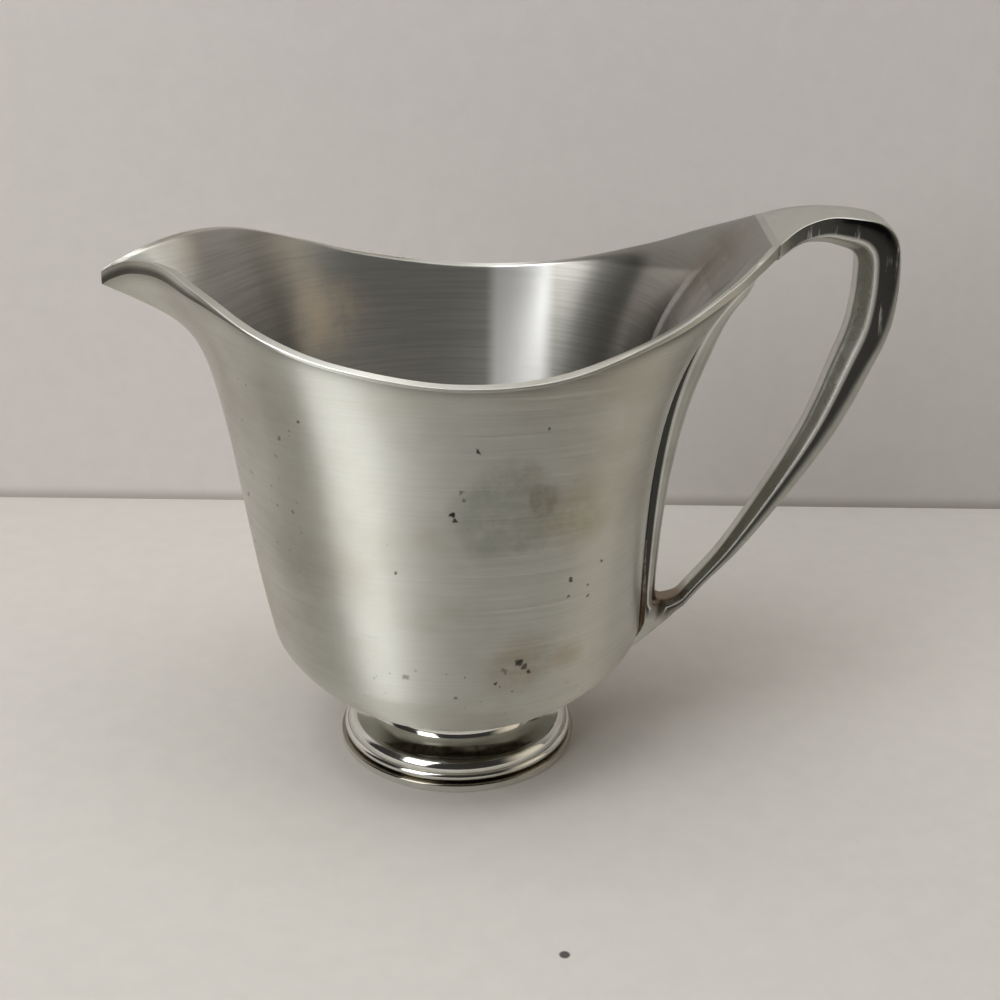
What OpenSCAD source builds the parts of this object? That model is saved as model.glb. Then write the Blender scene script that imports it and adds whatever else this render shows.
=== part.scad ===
// Footed metal creamer: a bell-shaped bowl with a drooping spout, an open teardrop handle
// that flows out of the rim, and a small turned pedestal foot.
// X runs from the spout (minus) to the handle (plus) and Z is up.
// The origin is the centre of the foot, on the table. All lengths are in millimetres.

/* [Bowl] */
// Radius of the bowl at its belly
belly_r = 38.2; // [36:0.1:40]
// Height of the belly above the table
belly_z = 29; // [27:0.5:32]
// Height of the flat underside, where the foot is joined
seat_z = 12.5; // [11:0.5:14]
// Radius of the flat underside
seat_r = 19; // [18.9:0.1:20]
// Thickness of the bowl's metal
wall = 1.8; // [1.4:0.1:2.4]
// Length over which the underside stays nearly level outside its flat
under_pull = 8; // [6:0.5:12]
// Length of the upright pull under the belly
belly_pull = 5; // [3:0.5:8]
// Lean of the wall above the belly, in degrees, towards the spout
spout_lean = 12.1; // [6:0.1:14]
// Lean of the wall above the belly, in degrees, at the sides
side_lean = 12; // [8:0.2:13]
// Lean of the wall above the belly, in degrees, towards the handle
heel_lean = 0.6; // [0:0.2:4]

/* [Rim and spout] */
// Distance from the axis to the spout's tip
spout_reach = 68.6; // [62:0.1:74]
// Distance from the axis to the end of the rim at the handle
heel_reach = 59.4; // [57:0.1:62]
// Half width of the mouth, across the handle's plane
mouth_half_w = 39.8; // [38:0.1:44]
// Height of the rim at its lowest, at the sides
rim_z = 92.9; // [88:0.1:98]
// How far the rim rises to the shoulders of the spout
spout_rise = 13.3; // [10:0.1:16]
// How far the rim rises to the handle
heel_rise = 18.5; // [14:0.1:19]
// Flare of the spout under its tip, in degrees from upright
spout_flare = 66; // [55:1:70]
// Flare of the wall where it meets the handle, in degrees from upright
heel_flare = 41; // [36:1:44]
// Pull of the spout's curve under its tip
spout_pull = 26.5; // [22:0.5:30]
// Pull of the wall's curve under the handle
heel_pull = 24.5; // [20:0.5:27]
// Pull of the wall's curve under the side of the rim
side_pull = 16; // [12:1:24]
// Width of the flat lip at the sides of the rim
side_lip_w = 2.6; // [2:0.1:3.2]
// Width of the lip's edge at the spout's tip
spout_lip_w = 1.3; // [1:0.1:2]
// Height of the end face round the spout
spout_lip = 2.6; // [1.6:0.1:3]
// Height of the small outer edge at the sides of the rim
side_lip = 0.6; // [0.4:0.1:1]
// Height of the flange where the rim meets the handle
heel_lip = 2.2; // [1.8:0.1:3]
// Overhang of the flange over the wall at the handle
heel_step = 1; // [0.6:0.1:1.4]
// Width of the flat lip where it meets the handle
heel_lip_w = 7.2; // [6:0.1:8]
// Fall of the lip there, from the handle down to the lip's inner edge
heel_lip_fall = 5.4; // [4:0.1:6]

/* [Handle] */
// Distance from the axis to the outside of the handle
handle_reach = 84.4; // [80:0.2:88]
// Height of the top of the strap
strap_z = 115; // [112:0.1:118]
// Height of the fork where the grip meets the rail
fork_z = 32.8; // [30:0.2:35]
// Radius of the hole's rounded lower end
fork_round = 1.6; // [1.2:0.1:2]
// Thickness of the strap
strap_t = 5.1; // [4:0.1:6]
// Depth of the grip at the bend
bend_t = 8.3; // [7:0.1:9.5]
// Depth of the grip at its lower end
limb_t = 2.5; // [2.2:0.1:4]
// Half width of the strap
strap_half_w = 5; // [4:0.1:6]
// Half width of the grip at its lower end
limb_half_w = 3.3; // [2.8:0.1:3.8]
// Depth of the tail at the belly
fork_t = 7.2; // [6:0.1:8]
// Depth of the tail's tip
tail_tip_t = 0.5; // [0.4:0.1:1]
// Half width of the tail's tip
tail_half_w = 1.2; // [0.8:0.1:2]

/* [Rail] */
// Depth of the rail at its lower end
rail_low_t = 2.6; // [2:0.1:3.2]
// Depth of the rail at mid height
rail_mid_t = 5.3; // [4:0.1:6]
// Depth of the rail's top, under the rim
rail_top_t = 3.8; // [3:0.1:4.2]
// Half width of the rail
rail_half_w = 3.3; // [2.6:0.1:4]
// Half width of the rail's spread root
rail_root_half_w = 7; // [5:0.2:8]

/* [Foot] */
// Diameter of the foot
foot_d = 50; // [44:0.5:56]
// Height of the base band
base_band_h = 1.8; // [1.2:0.1:2.4]
// Depth of the groove over the base band
groove_d = 0.7; // [0.4:0.1:1]
// Radius of the lower bead
bead_r = 1; // [0.6:0.1:1.2]
// Height of the rounded shoulder
shoulder_h = 4; // [3:0.1:4.4]
// Radius of the neck at its narrowest
neck_r = 17; // [15:0.1:17.4]
// Radius of the collar under the bowl
collar_r = 17.8; // [17.2:0.1:17.8]
// Height of the collar
collar_h = 2; // [1.2:0.1:2.6]
// Thickness of the foot's metal
foot_t = 1.8; // [1.2:0.1:2.2]

/* [Solder] */
// Leg of the solder fillets
solder_leg = 1; // [0.6:0.1:1.2]
// Share of the rail's height that the upper solder takes
upper_solder_share = 0.42; // [0.2:0.02:0.5]
// Share of the rail's height that the lower solder takes
lower_solder_share = 0.12; // [0.06:0.01:0.25]

/* [Hidden] */

// Gap left between curved faces that are soldered together
seam_gap = 0.1;
// Widest angle between two neighbouring columns of the bowl
column_step = 6;
// Rows of the bowl below and above its belly
lower_rows = 8;
upper_rows = 15;
inner_rows = 11;
// Columns across half of the straight end of the rim
end_columns = 3;
// Steps in each interval of the handle's stations
handle_steps = 3;
// Rings along the rail and along each solder fillet
rail_rows = 22;
solder_rings = 12;
// Roundness of the turned parts
turned_fn = 96;
// Rise of the underside while it stays nearly level
under_rise = under_pull / 8;
// Share of the bowl's lower wall at which the tail ends, from the flat underside
tail_end_share = 0.26;

bowl_colour = [0.74, 0.73, 0.71];
handle_colour = [0.66, 0.65, 0.62];
foot_colour = [0.82, 0.82, 0.82];
solder_colour = [0.52, 0.46, 0.38];

// Stations of the rim from the spout's tip to the widest place: shares of the spout's
// reach, of the mouth's half width and of the rise to the spout's shoulders.
spout_shares = [
  [1.000, 0.000, 0.65], [0.965, 0.040, 0.77], [0.897, 0.126, 0.92], [0.794, 0.317, 1.00],
  [0.676, 0.583, 0.87], [0.500, 0.829, 0.50], [0.294, 0.945, 0.19], [0.000, 1.000, 0.00]
];
// Stations of the rim from there to the handle: shares of the heel's reach, of the
// mouth's half width and of the rise to the handle.
heel_shares = [
  [0.333, 0.950, 0.07], [0.633, 0.764, 0.37], [0.833, 0.555, 0.69],
  [0.933, 0.410, 0.87], [1.000, 0.299, 1.00]
];

// Smooth step from 0 to 1 as x goes from a to b
function ease(a, b, x) = let (t = min(1, max(0, (x - a) / (b - a)))) t * t * (3 - 2 * t);
function mix(a, b, s) = a + (b - a) * s;

// Point of a cubic curve with four control points
function cubic(a, b, c, d, t) =
  a * pow(1 - t, 3) + b * 3 * t * pow(1 - t, 2) + c * 3 * t * t * (1 - t) + d * pow(t, 3);

// Point of a smooth curve that passes through b and c, with a and d beyond them
function through(a, b, c, d, t) =
  (2 * b + (c - a) * t + (2 * a - 5 * b + 4 * c - d) * t * t
    + (3 * b - a - 3 * c + d) * pow(t, 3)) / 2;

// Value at u of the smooth curve through a list of stations
function along(list, u) =
  let (
    last = len(list) - 1,
    i = min(last - 1, max(0, floor(u))),
    before = i > 0 ? list[i - 1] : 2 * list[0] - list[1],
    after = i + 2 <= last ? list[i + 2] : 2 * list[last] - list[last - 1]
  ) through(before, list[i], list[i + 1], after, u - i);

// Unit vector at an angle from upright, in the plane of radius and height
function upright(angle) = [sin(angle), cos(angle)];
// The rim
function spout_station(s) =
  [-s[0] * spout_reach, s[1] * mouth_half_w, rim_z + s[2] * spout_rise];
function heel_station(s) =
  [s[0] * heel_reach, s[1] * mouth_half_w, rim_z + s[2] * heel_rise];
rim_stations = concat(
  [for (s = spout_shares) spout_station(s)],
  [for (s = heel_shares) heel_station(s)]
);
heel_z = rim_z + heel_rise;
heel_half_w = heel_shares[len(heel_shares) - 1][1] * mouth_half_w;

function plan_angle(p) = atan2(p[1], p[0]);
function mirrored(p) = [p[0], -p[1], p[2]];
// The station before the tip is the mirror image of the one after it
rim_guide = concat([mirrored(rim_stations[1])], rim_stations);

function interval_columns(i) =
  max(2, ceil(abs(plan_angle(rim_stations[i]) - plan_angle(rim_stations[i + 1])) / column_step));

// Points of the rim's outer edge from the tip to the middle of the heel
half_rim = concat(
  [for (i = [0:len(rim_stations) - 2])
    for (k = [0:interval_columns(i) - 1]) along(rim_guide, i + 1 + k / interval_columns(i))],
  [for (k = [0:end_columns]) [heel_reach, heel_half_w * (1 - k / end_columns), heel_z]]
);
half_count = len(half_rim);
// The whole rim, once round
rim = concat(
  half_rim,
  [for (i = [half_count - 2:-1:1]) mirrored(half_rim[i])]
);

// Shares of a rim point that belong to the spout and to the handle's end
function radius_of(p) = norm([p[0], p[1]]);
function spout_share(p) = p[0] >= 0 ? 0 :
  min(1, max(0, (radius_of(p) - mouth_half_w) / (spout_reach - mouth_half_w)));
function heel_share(p) = p[0] <= 0 ? 0 :
  min(1, max(0, (radius_of(p) - mouth_half_w) / (heel_reach - mouth_half_w)));
function blend(p, side, spout, heel) =
  side + (spout - side) * spout_share(p) + (heel - side) * heel_share(p);

// Flare of the wall under the side of the rim, in degrees, and the shares of the height
// above the belly over which the wall keeps its lean
side_flare = 3.3;
side_rise_share = 0.1;
spout_rise_share = 1.02;
heel_rise_share = 0.885;
function lean(p) = blend(p, side_lean, spout_lean, heel_lean);
function flare(p) = blend(p, side_flare, spout_flare, heel_flare);
function rise_pull(p) =
  blend(p, side_rise_share, spout_rise_share, heel_rise_share) * (rim_z - belly_z);
function top_pull(p) = blend(p, side_pull, spout_pull, heel_pull);

// Height of the edge face under a rim point, and the overhang under that face
lip_chamfer = side_lip / 3;
lip_start_share = 0.53;
lip_full_share = 0.8;
flange_start_share = 0.43;
function lip_height(p) = side_lip
  + (spout_lip - side_lip)
    * ease(lip_start_share * spout_reach, lip_full_share * spout_reach, -p[0])
  + (heel_lip - side_lip) * ease(flange_start_share * heel_reach, heel_reach, p[0]);
function lip_step(p) =
  mix(lip_chamfer, heel_step, ease(flange_start_share * heel_reach, heel_reach, p[0]));

// Outside of the wall in the plane of one rim point, as radius and height
belly = [belly_r, belly_z];
function wall_top(p) =
  [radius_of(p) - lip_step(p), p[2] - lip_height(p) - lip_step(p) / 2];
function lower_wall(p, t) = cubic(
  [seat_r, seat_z],
  [seat_r + under_pull, seat_z + under_rise],
  belly - belly_pull * upright(lean(p)),
  belly, t);
function upper_wall(p, t) = cubic(
  belly,
  belly + rise_pull(p) * upright(lean(p)),
  wall_top(p) - top_pull(p) * upright(flare(p)),
  wall_top(p), t);

// Inside of the wall, one wall thickness in
// The lip widens and dips late, close to the handle
heel_widening = 3;
function heel_lip_share(p) = pow(heel_share(p), heel_widening);
function lip_width(p) = side_lip_w + (spout_lip_w - side_lip_w) * spout_share(p)
  + (heel_lip_w - side_lip_w) * heel_lip_share(p);
function lip_fall(p) =
  spout_share(p) * spout_lip_w / 3 + heel_lip_share(p) * heel_lip_fall;
function lip_inner(p) = [radius_of(p) - lip_width(p), p[2] - lip_fall(p)];
inner_belly = [belly_r - wall, belly_z];
floor_z = seat_z + wall;
function inner_upper(p, t) = cubic(
  inner_belly,
  inner_belly + rise_pull(p) * upright(lean(p)),
  lip_inner(p) - top_pull(p) * upright(flare(p)),
  lip_inner(p), t);
function inner_lower(p, t) = cubic(
  [seat_r, floor_z],
  [seat_r + under_pull - wall / 2, floor_z + under_rise],
  inner_belly - belly_pull * upright(lean(p)),
  inner_belly, t);

// A point at a radius and height, in the upright plane of a rim point
function stand(p, rz) =
  [rz[0] * p[0] / radius_of(p), rz[0] * p[1] / radius_of(p), rz[1]];

// One column of the bowl, from the flat underside, over the rim and down to the floor
function bowl_column(p) = concat(
  [for (i = [0:lower_rows]) stand(p, lower_wall(p, i / lower_rows))],
  [for (i = [1:upper_rows]) stand(p, upper_wall(p, i / upper_rows))],
  [stand(p, [radius_of(p), p[2] - lip_height(p)])],
  [p],
  [for (i = [inner_rows:-1:0]) stand(p, inner_upper(p, i / inner_rows))],
  [for (i = [lower_rows - 1:-1:0]) stand(p, inner_lower(p, i / lower_rows))]
);

// Faces between the columns of a closed shape, each column with n points
function column_faces(count, n, closed) = [
  for (i = [0:count - (closed ? 1 : 2)])
    for (j = [0:n - 2])
      let (a = i * n + j, b = ((i + 1) % count) * n + j)
        each [[a, b, b + 1], [a, b + 1, a + 1]]
];

module bowl() {
  columns = [for (p = rim) bowl_column(p)];
  count = len(columns);
  n = len(columns[0]);
  points = concat(
    [for (c = columns) each c],
    [[0, 0, seat_z], [0, 0, floor_z]]
  );
  under = count * n;
  inside = under + 1;
  faces = concat(
    column_faces(count, n, true),
    [for (i = [0:count - 1]) [under, ((i + 1) % count) * n, i * n]],
    [for (i = [0:count - 1]) [inside, i * n + n - 1, ((i + 1) % count) * n + n - 1]]
  );
  color(bowl_colour) polyhedron(points = points, faces = faces, convexity = 6);
}

// The bowl's back. A place on it has a share t: 0 at the flat underside, 1 at the belly
// and 2 under the rim's flange. It also has a distance y from the handle's plane.
heel_point = [heel_reach, 0, heel_z];
function back_at(p, t) = t < 1 ? lower_wall(p, t) : upper_wall(p, t - 1);
// Small share of the curve over which its direction is measured
nudge_share = 0.001;
function back_step(p, t) =
  back_at(p, min(2, t + nudge_share)) - back_at(p, max(0, t - nudge_share));
function back_normal(p, t) =
  let (d = back_step(p, t)) [d[1], -d[0]] / norm(d);
// Rim point whose column passes at a distance y from the handle's plane
function back_rim(y, t) =
  let (
    across = heel_reach * tan(asin(y / back_at(heel_point, t)[0])),
    limit = min(heel_half_w, max(-heel_half_w, across))
  ) [heel_reach, limit, heel_z];
// Point at a height off the bowl's back
function on_back(y, t, off) =
  let (p = back_rim(y, t)) stand(p, back_at(p, t) + off * back_normal(p, t));
// The same in the handle's plane
function in_plane(t, off) =
  back_at(heel_point, t) + off * back_normal(heel_point, t);
function turned(v, a) = [v[0] * cos(a) - v[1] * sin(a), v[0] * sin(a) + v[1] * cos(a)];

// Outlines of the handle's section, from its inner to its outer side: shares of the depth
// and of the half width.
fork_shares = [
  [0.00, 0.55], [0.12, 0.74], [0.26, 0.95], [0.34, 1.00], [0.70, 0.97], [0.90, 0.78], [1.00, 0.40]
];
grip_shares = [
  [0.00, 0.45], [0.10, 0.62], [0.28, 0.92], [0.34, 1.00], [0.72, 0.98], [0.92, 0.80], [1.00, 0.45]
];
strap_shares = [
  [0.00, 0.45], [0.10, 0.66], [0.26, 0.94], [0.33, 1.00], [0.80, 1.00], [0.96, 1.00], [1.00, 0.95]
];
neck_shares = [
  [0.00, 0.28], [0.08, 0.40], [0.16, 0.62], [0.24, 0.96], [0.60, 1.00], [0.96, 1.00], [1.00, 0.985]
];
root_shares = [
  [0.00, 0.30], [0.16, 0.54], [0.34, 0.80], [0.52, 0.97], [0.74, 0.98], [1.00, 0.98], [1.00, 0.35]
];
rail_shares = [
  [0.00, 0.50], [0.10, 0.80], [0.25, 1.00], [0.50, 1.00], [0.80, 1.00], [1.00, 1.00], [1.00, 0.35]
];
crotch_shares = [
  [0.00, 0.55], [0.14, 0.80], [0.32, 0.98], [0.52, 1.00], [0.80, 1.00], [1.00, 1.00], [1.00, 0.35]
];
outline_shares = [
  fork_shares, grip_shares, strap_shares, neck_shares, root_shares, rail_shares, crotch_shares
];
function outline_between(u) =
  let (last = len(outline_shares) - 1, i = min(last - 1, floor(u)))
    mix(outline_shares[i], outline_shares[i + 1], u - i);

// Stations of the grip, from the fork over the bend to the strap: shares of the way out
// to the handle's reach, of the way up to the strap, the slant of the depth in degrees,
// and shares of the depth, of the width and of the outline.
// The depth goes from the limb (0) to the bend (1) and the strap (2), and the outline
// from the fork (0) to the grip (1) and the strap (2).
grip_station_shares = [
  [0.117, -0.012, -33, 0.00, 0.00, 0.10],
  [0.182, 0.032, -34, 0.00, 0.00, 0.35],
  [0.258, 0.079, -34, 0.02, 0.00, 0.65],
  [0.364, 0.140, -33, 0.15, 0.02, 0.90],
  [0.538, 0.266, -32, 0.37, 0.10, 1.00],
  [0.726, 0.414, -31, 0.61, 0.22, 1.00],
  [0.831, 0.520, -27, 0.79, 0.38, 1.00],
  [0.919, 0.632, -17, 0.91, 0.50, 1.00],
  [0.976, 0.708, -9, 0.98, 0.65, 1.00],
  [0.999, 0.789, -2, 1.00, 0.80, 1.02],
  [0.998, 0.866, 6, 0.98, 0.90, 1.10],
  [0.976, 0.941, 28, 1.02, 0.95, 1.30],
  [0.903, 0.983, 43, 1.08, 0.96, 1.55],
  [0.783, 0.995, 60, 1.52, 0.98, 1.85],
  [0.656, 0.999, 80, 1.92, 1.00, 2.00]
];
// Stations from the strap to the rim's end: shares of the way across and up from the
// rim's end to the strap's last station, and shares of the width and of the outline.
neck_station_shares = [
  [0.505, 0.735, 0.33, 2.45], [0.208, 0.353, 0.70, 2.80]
];
// Slant of the depth at the rim's end, in degrees from level
root_slant = 98;
// Depths of the root at its upper and lower corners and under them, as shares of the strap's
root_depth_share = 0.92;
corner_depth_share = 0.56;
under_depth_share = 0.82;
corner_slant = 88;

fork_x = belly_r + seam_gap + rail_low_t + fork_round;
function depth_between(s) = s < 1 ? mix(limb_t, bend_t, s) : mix(bend_t, strap_t, s - 1);
function grip_station(s) = [
  mix(fork_x, handle_reach, s[0]), mix(fork_z, strap_z, s[1]), s[2],
  depth_between(s[3]), mix(limb_half_w, strap_half_w, s[4]), s[5]
];
root_corner = [heel_reach + seam_gap, heel_z];
root_station = [
  root_corner[0], root_corner[1], root_slant, root_depth_share * strap_t, heel_half_w, 3
];
strap_station = grip_station(grip_station_shares[len(grip_station_shares) - 1]);
function neck_station(s) = [
  mix(root_corner[0], strap_station[0], s[0]), mix(root_corner[1], strap_station[1], s[1]),
  mix(strap_station[2], root_slant, s[2]), mix(strap_station[3], root_station[3], s[2]),
  mix(strap_half_w, heel_half_w, s[2]), s[3]
];
stations = concat(
  [for (s = grip_station_shares) grip_station(s)],
  [for (s = neck_station_shares) neck_station(s)],
  [root_station]
);

// A ring round the section between an inner point and the outer side. The outer side is
// a function of the distance from the handle's plane.
function both_sides(shares) =
  concat([for (q = shares) [q[0], -q[1]]],
    [for (i = [len(shares) - 1:-1:0]) shares[i]]);
function free_ring(inner, outer, half_w, shares) = [
  for (q = both_sides(shares))
    let (c = mix(inner, outer, q[0])) [c[0], q[1] * half_w, c[1]]
];
function back_ring(inner, t, half_w, shares) = [
  for (q = both_sides(shares))
    let (
      y = q[1] * half_w,
      b = on_back(y, t, seam_gap),
      c = mix(inner, [b[0], b[2]], q[0])
    ) [c[0], y, c[1]]
];
function station_ring(s) =
  let (outer = [s[0], s[1]], inner = outer - s[3] * [cos(s[2]), sin(s[2])])
    free_ring(inner, outer, s[4], outline_between(s[5]));

// The hole's rounded lower end, by the angle round its centre
function fork_point(a) = [fork_x, fork_z + fork_round] + fork_round * [cos(a), sin(a)];

rail_swell_share = 0.58;
rail_slim_share = 0.84;
rail_root_share = 0.9;
rail_root_tilt = 64;
rail_start_share = 0.035;
// Depth and half width of the rail at a share u of its height, 0 at the belly
function rail_plain_depth(u) =
  mix(mix(rail_low_t, rail_mid_t, ease(0, rail_swell_share, u)), rail_top_t,
    ease(rail_swell_share, rail_slim_share, u));
function rail_depth(u) =
  mix(rail_plain_depth(u), under_depth_share * strap_t, ease(rail_root_share, 1, u));
function rail_half(u) = mix(rail_half_w, rail_root_half_w, ease(rail_swell_share, 1, u));
function rail_tilt(u) = -rail_root_tilt * ease(rail_slim_share, 1, u);
function rail_inner(u) =
  let (t = 1 + u)
    in_plane(t, seam_gap) + rail_depth(u) * turned(back_normal(heel_point, t), rail_tilt(u));
function rail_ring(u) =
  back_ring(rail_inner(u), 1 + u, rail_half(u),
    mix(rail_shares, crotch_shares, ease(2 * rail_start_share, 0, u)));

// The tail below the fork, along the bowl's back from the belly down
tail_start_share = 1.006;
tail_rows = 9;
tail_start_pull_share = 0.62;
tail_end_pull_share = 0.3;
tail_width_share = 0.6;
function tail_place(s) = mix(tail_start_share, tail_end_share, s);
function tail_half(t) = mix(tail_half_w, limb_half_w,
  pow(max(0, (t - tail_end_share) / (tail_start_share - tail_end_share)), tail_width_share));
// Outer edge of the tail: it leaves along the limb and ends along the bowl
fork_outer = in_plane(tail_start_share, seam_gap + fork_t);
tip_outer = in_plane(tail_end_share, seam_gap + tail_tip_t);
limb_low = [stations[0][0], stations[0][1]];
tail_l = norm(fork_outer - tip_outer);
limb_way = (fork_outer - limb_low) / norm(fork_outer - limb_low);
tip_way = back_step(heel_point, tail_end_share) / norm(back_step(heel_point, tail_end_share));
function tail_outer(s) = cubic(
  fork_outer, fork_outer + tail_start_pull_share * tail_l * limb_way,
  tip_outer + tail_end_pull_share * tail_l * tip_way, tip_outer, s);
function tail_ring(s, shares) = [
  for (q = shares)
    let (
      y = q[1] * tail_half(tail_place(s)),
      b = on_back(y, tail_place(s), seam_gap),
      c = mix([b[0], b[2]], tail_outer(s), q[0])
    ) [c[0], y, c[1]]
];
fork_split_share = 0.5;
tail_crown_share = 0.5;
// Outline of the tail's section from the bowl outwards, full where the hole's edge ends
tail_shares = concat(
  [for (i = [len(crotch_shares) - 1:-1:1])
    [fork_split_share * (1 - crotch_shares[i][0]),
      i < len(crotch_shares) - 1 ? 1 : crotch_shares[i][1]]],
  [for (q = fork_shares)
    [mix(fork_split_share, 1, q[0]), q[0] < tail_crown_share ? 1 : q[1]]]
);

fork_mid_share = 0.5;
// The rings in order: limb, bend, strap, neck, the two corners of the root, rail and fork
handle_rings = concat(
  [free_ring(fork_point(-90), fork_outer, limb_half_w, fork_shares)],
  [free_ring(fork_point(-65), mix(fork_outer, limb_low, fork_mid_share),
    limb_half_w, fork_shares)],
  [for (k = [0:(len(stations) - 1) * handle_steps])
    station_ring(along(stations, k / handle_steps))],
  [
    let (corner = root_corner - [0, heel_lip + seam_gap])
      free_ring(
        corner - corner_depth_share * strap_t * [cos(corner_slant), sin(corner_slant)],
        corner, heel_half_w, root_shares)
  ],
  [for (k = [rail_rows:-1:0]) rail_ring(mix(rail_start_share, 1, k / rail_rows))],
  [
    back_ring(fork_point(-150), 1 + rail_start_share / 2, limb_half_w, crotch_shares),
    back_ring(fork_point(-120), 1 + rail_start_share / 3, limb_half_w, crotch_shares),
    back_ring(fork_point(-90), tail_start_share, limb_half_w, crotch_shares)
  ]
);
tail_rings = [
  for (k = [1:tail_rows])
    tail_ring(k / tail_rows, both_sides(tail_shares))
];

module handle() {
  count = len(handle_rings);
  n = len(handle_rings[0]);
  half = n / 2;
  // The first and the last ring share the two corners of the fork
  function at(i, j) =
    let (k = (j + n) % n) i == count - 1 && (k == 0 || k == n - 1) ? k : i * n + k;
  // The two rings together are the first ring of the tail
  first = concat(
    [for (j = [half - 1:-1:1]) at(count - 1, j)],
    [for (j = [0:n - 1]) at(0, j)],
    [for (j = [n - 2:-1:half]) at(count - 1, j)]
  );
  m = len(first);
  function tail_at(i, j) = i == 0 ? first[j % m] : count * n + (i - 1) * m + j % m;
  points = concat([for (r = handle_rings) each r], [for (r = tail_rings) each r]);
  loop_faces = [
    for (i = [0:count - 2]) for (j = [0:n - 1])
      each [[at(i, j + 1), at(i, j), at(i + 1, j + 1)], [at(i + 1, j + 1), at(i, j), at(i + 1, j)]]
  ];
  tail_faces = [
    for (i = [0:tail_rows - 1]) for (j = [0:m - 1])
      each [
        [tail_at(i, j), tail_at(i, j + 1), tail_at(i + 1, j)],
        [tail_at(i, j + 1), tail_at(i + 1, j + 1), tail_at(i + 1, j)]
      ]
  ];
  tip_faces = [
    for (j = [0:m / 2 - 2])
      each [
        [tail_at(tail_rows, j), tail_at(tail_rows, j + 1), tail_at(tail_rows, m - 1 - j)],
        [tail_at(tail_rows, j + 1), tail_at(tail_rows, m - 2 - j), tail_at(tail_rows, m - 1 - j)]
      ]
  ];
  color(handle_colour)
    polyhedron(points = points, faces = concat(loop_faces, tail_faces, tip_faces), convexity = 8);
}

// Profile of the foot outside, from the base up, as radius and height
bead_cover_share = 0.8;
shoulder_share = 0.62;
cove_end_share = 0.5;
cove_start_share = 0.72;
edge_r = base_band_h / 4;
cove_pull_share = 0.45;
cove_lift_share = 0.12;
arc_steps = 8;
base_r = foot_d / 2;
bead_z = base_band_h + bead_r;
bead_x = base_r - groove_d;
shoulder_z = bead_z + bead_r * bead_cover_share;
shoulder_r = bead_x - groove_d;
cove_z = shoulder_z + shoulder_h * shoulder_share;
neck_z = seat_z - collar_h - cove_end_share * collar_h;
cove_r = mix(neck_r, shoulder_r, cove_start_share);
foot_outside = concat(
  [[base_r, 0], [base_r, base_band_h - edge_r]],
  [for (k = [0:arc_steps]) let (a = 90 * k / arc_steps)
    [base_r - edge_r + edge_r * cos(a), base_band_h - edge_r + edge_r * sin(a)]],
  [for (k = [0:arc_steps]) let (a = mix(-70, 70, k / arc_steps))
    [bead_x - bead_r + bead_r * cos(a), bead_z + bead_r * sin(a)]],
  [for (k = [1:arc_steps]) let (a = 90 * k / arc_steps)
    [mix(cove_r, shoulder_r, cos(a)), mix(shoulder_z, cove_z, sin(a))]],
  [for (k = [1:arc_steps]) cubic(
    [cove_r, cove_z], [mix(neck_r, cove_r, cove_pull_share), mix(cove_z, neck_z, cove_lift_share)],
    [neck_r, mix(cove_z, neck_z, cove_pull_share)], [neck_r, neck_z], k / arc_steps)],
  [[collar_r, seat_z - collar_h], [collar_r, seat_z]]
);
// Profile of the hollow inside, from the collar down
foot_inside = [
  [neck_r - foot_t, seat_z],
  [neck_r - foot_t, neck_z],
  [mix(neck_r, cove_r, cove_pull_share) - foot_t, mix(cove_z, neck_z, cove_pull_share)],
  [cove_r - foot_t, cove_z - foot_t],
  [shoulder_r - foot_t, shoulder_z - foot_t / 2],
  [shoulder_r - foot_t, 0]
];

module foot() {
  color(foot_colour)
    rotate_extrude($fn = turned_fn) polygon(concat(foot_outside, foot_inside));
}

// Section of a solder fillet with a hollow face, as shares of its leg
fillet_shares = [[0, 0], [1, 0], [0.42, 0.16], [0.16, 0.42], [0, 1]];

module foot_solder() {
  color(solder_colour)
    rotate_extrude($fn = turned_fn)
      polygon([for (q = fillet_shares)
        [collar_r + seam_gap + q[0] * solder_leg, seat_z - q[1] * solder_leg]]);
}

// Closed solid through a list of rings with the same number of points
module loft(rings) {
  count = len(rings);
  n = len(rings[0]);
  sides = [
    for (i = [0:count - 2]) for (j = [0:n - 1])
      let (a = i * n + j, b = i * n + (j + 1) % n)
        each [[a, b, b + n], [a, b + n, a + n]]
  ];
  last = (count - 1) * n;
  ends = concat(
    [for (j = [1:n - 2]) [0, j + 1, j]],
    [for (j = [1:n - 2]) [last, last + j, last + j + 1]]
  );
  polyhedron(points = [for (r = rings) each r], faces = concat(sides, ends), convexity = 4);
}

// Ring of a fillet that lies on the bowl's back at y, beside the side of the handle.
// It grows away from the handle by the unit direction [along the back, across it].
function back_speed(t) = norm(back_step(heel_point, t)) / (2 * nudge_share);
function fillet_ring(y, t, direction) = [
  for (q = fillet_shares)
    let (out = seam_gap + q[0] * solder_leg)
      on_back(y + direction[1] * out, t + direction[0] * out / back_speed(t),
        seam_gap + q[1] * solder_leg)
];

solder_end_share = 0.06;
upper_solder_ts = [
  for (k = [0:solder_rings]) mix(2 - upper_solder_share, 2 - solder_end_share, k / solder_rings)
];

module upper_solder() {
  color(solder_colour) {
    loft([for (t = upper_solder_ts) fillet_ring(rail_half(t - 1), t, [0, 1])]);
    mirror([0, 1, 0]) loft([for (t = upper_solder_ts) fillet_ring(rail_half(t - 1), t, [0, 1])]);
  }
}

// The lower solder runs down one side of the rail and the tail, round the tip and back up
function low_half(t) = t < 1 ? tail_half(t) : max(limb_half_w, rail_half(t - 1));
low_ts = [
  for (k = [0:2 * solder_rings]) mix(1 + lower_solder_share, tail_end_share, k / (2 * solder_rings))
];
corner_steps = 4;

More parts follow.
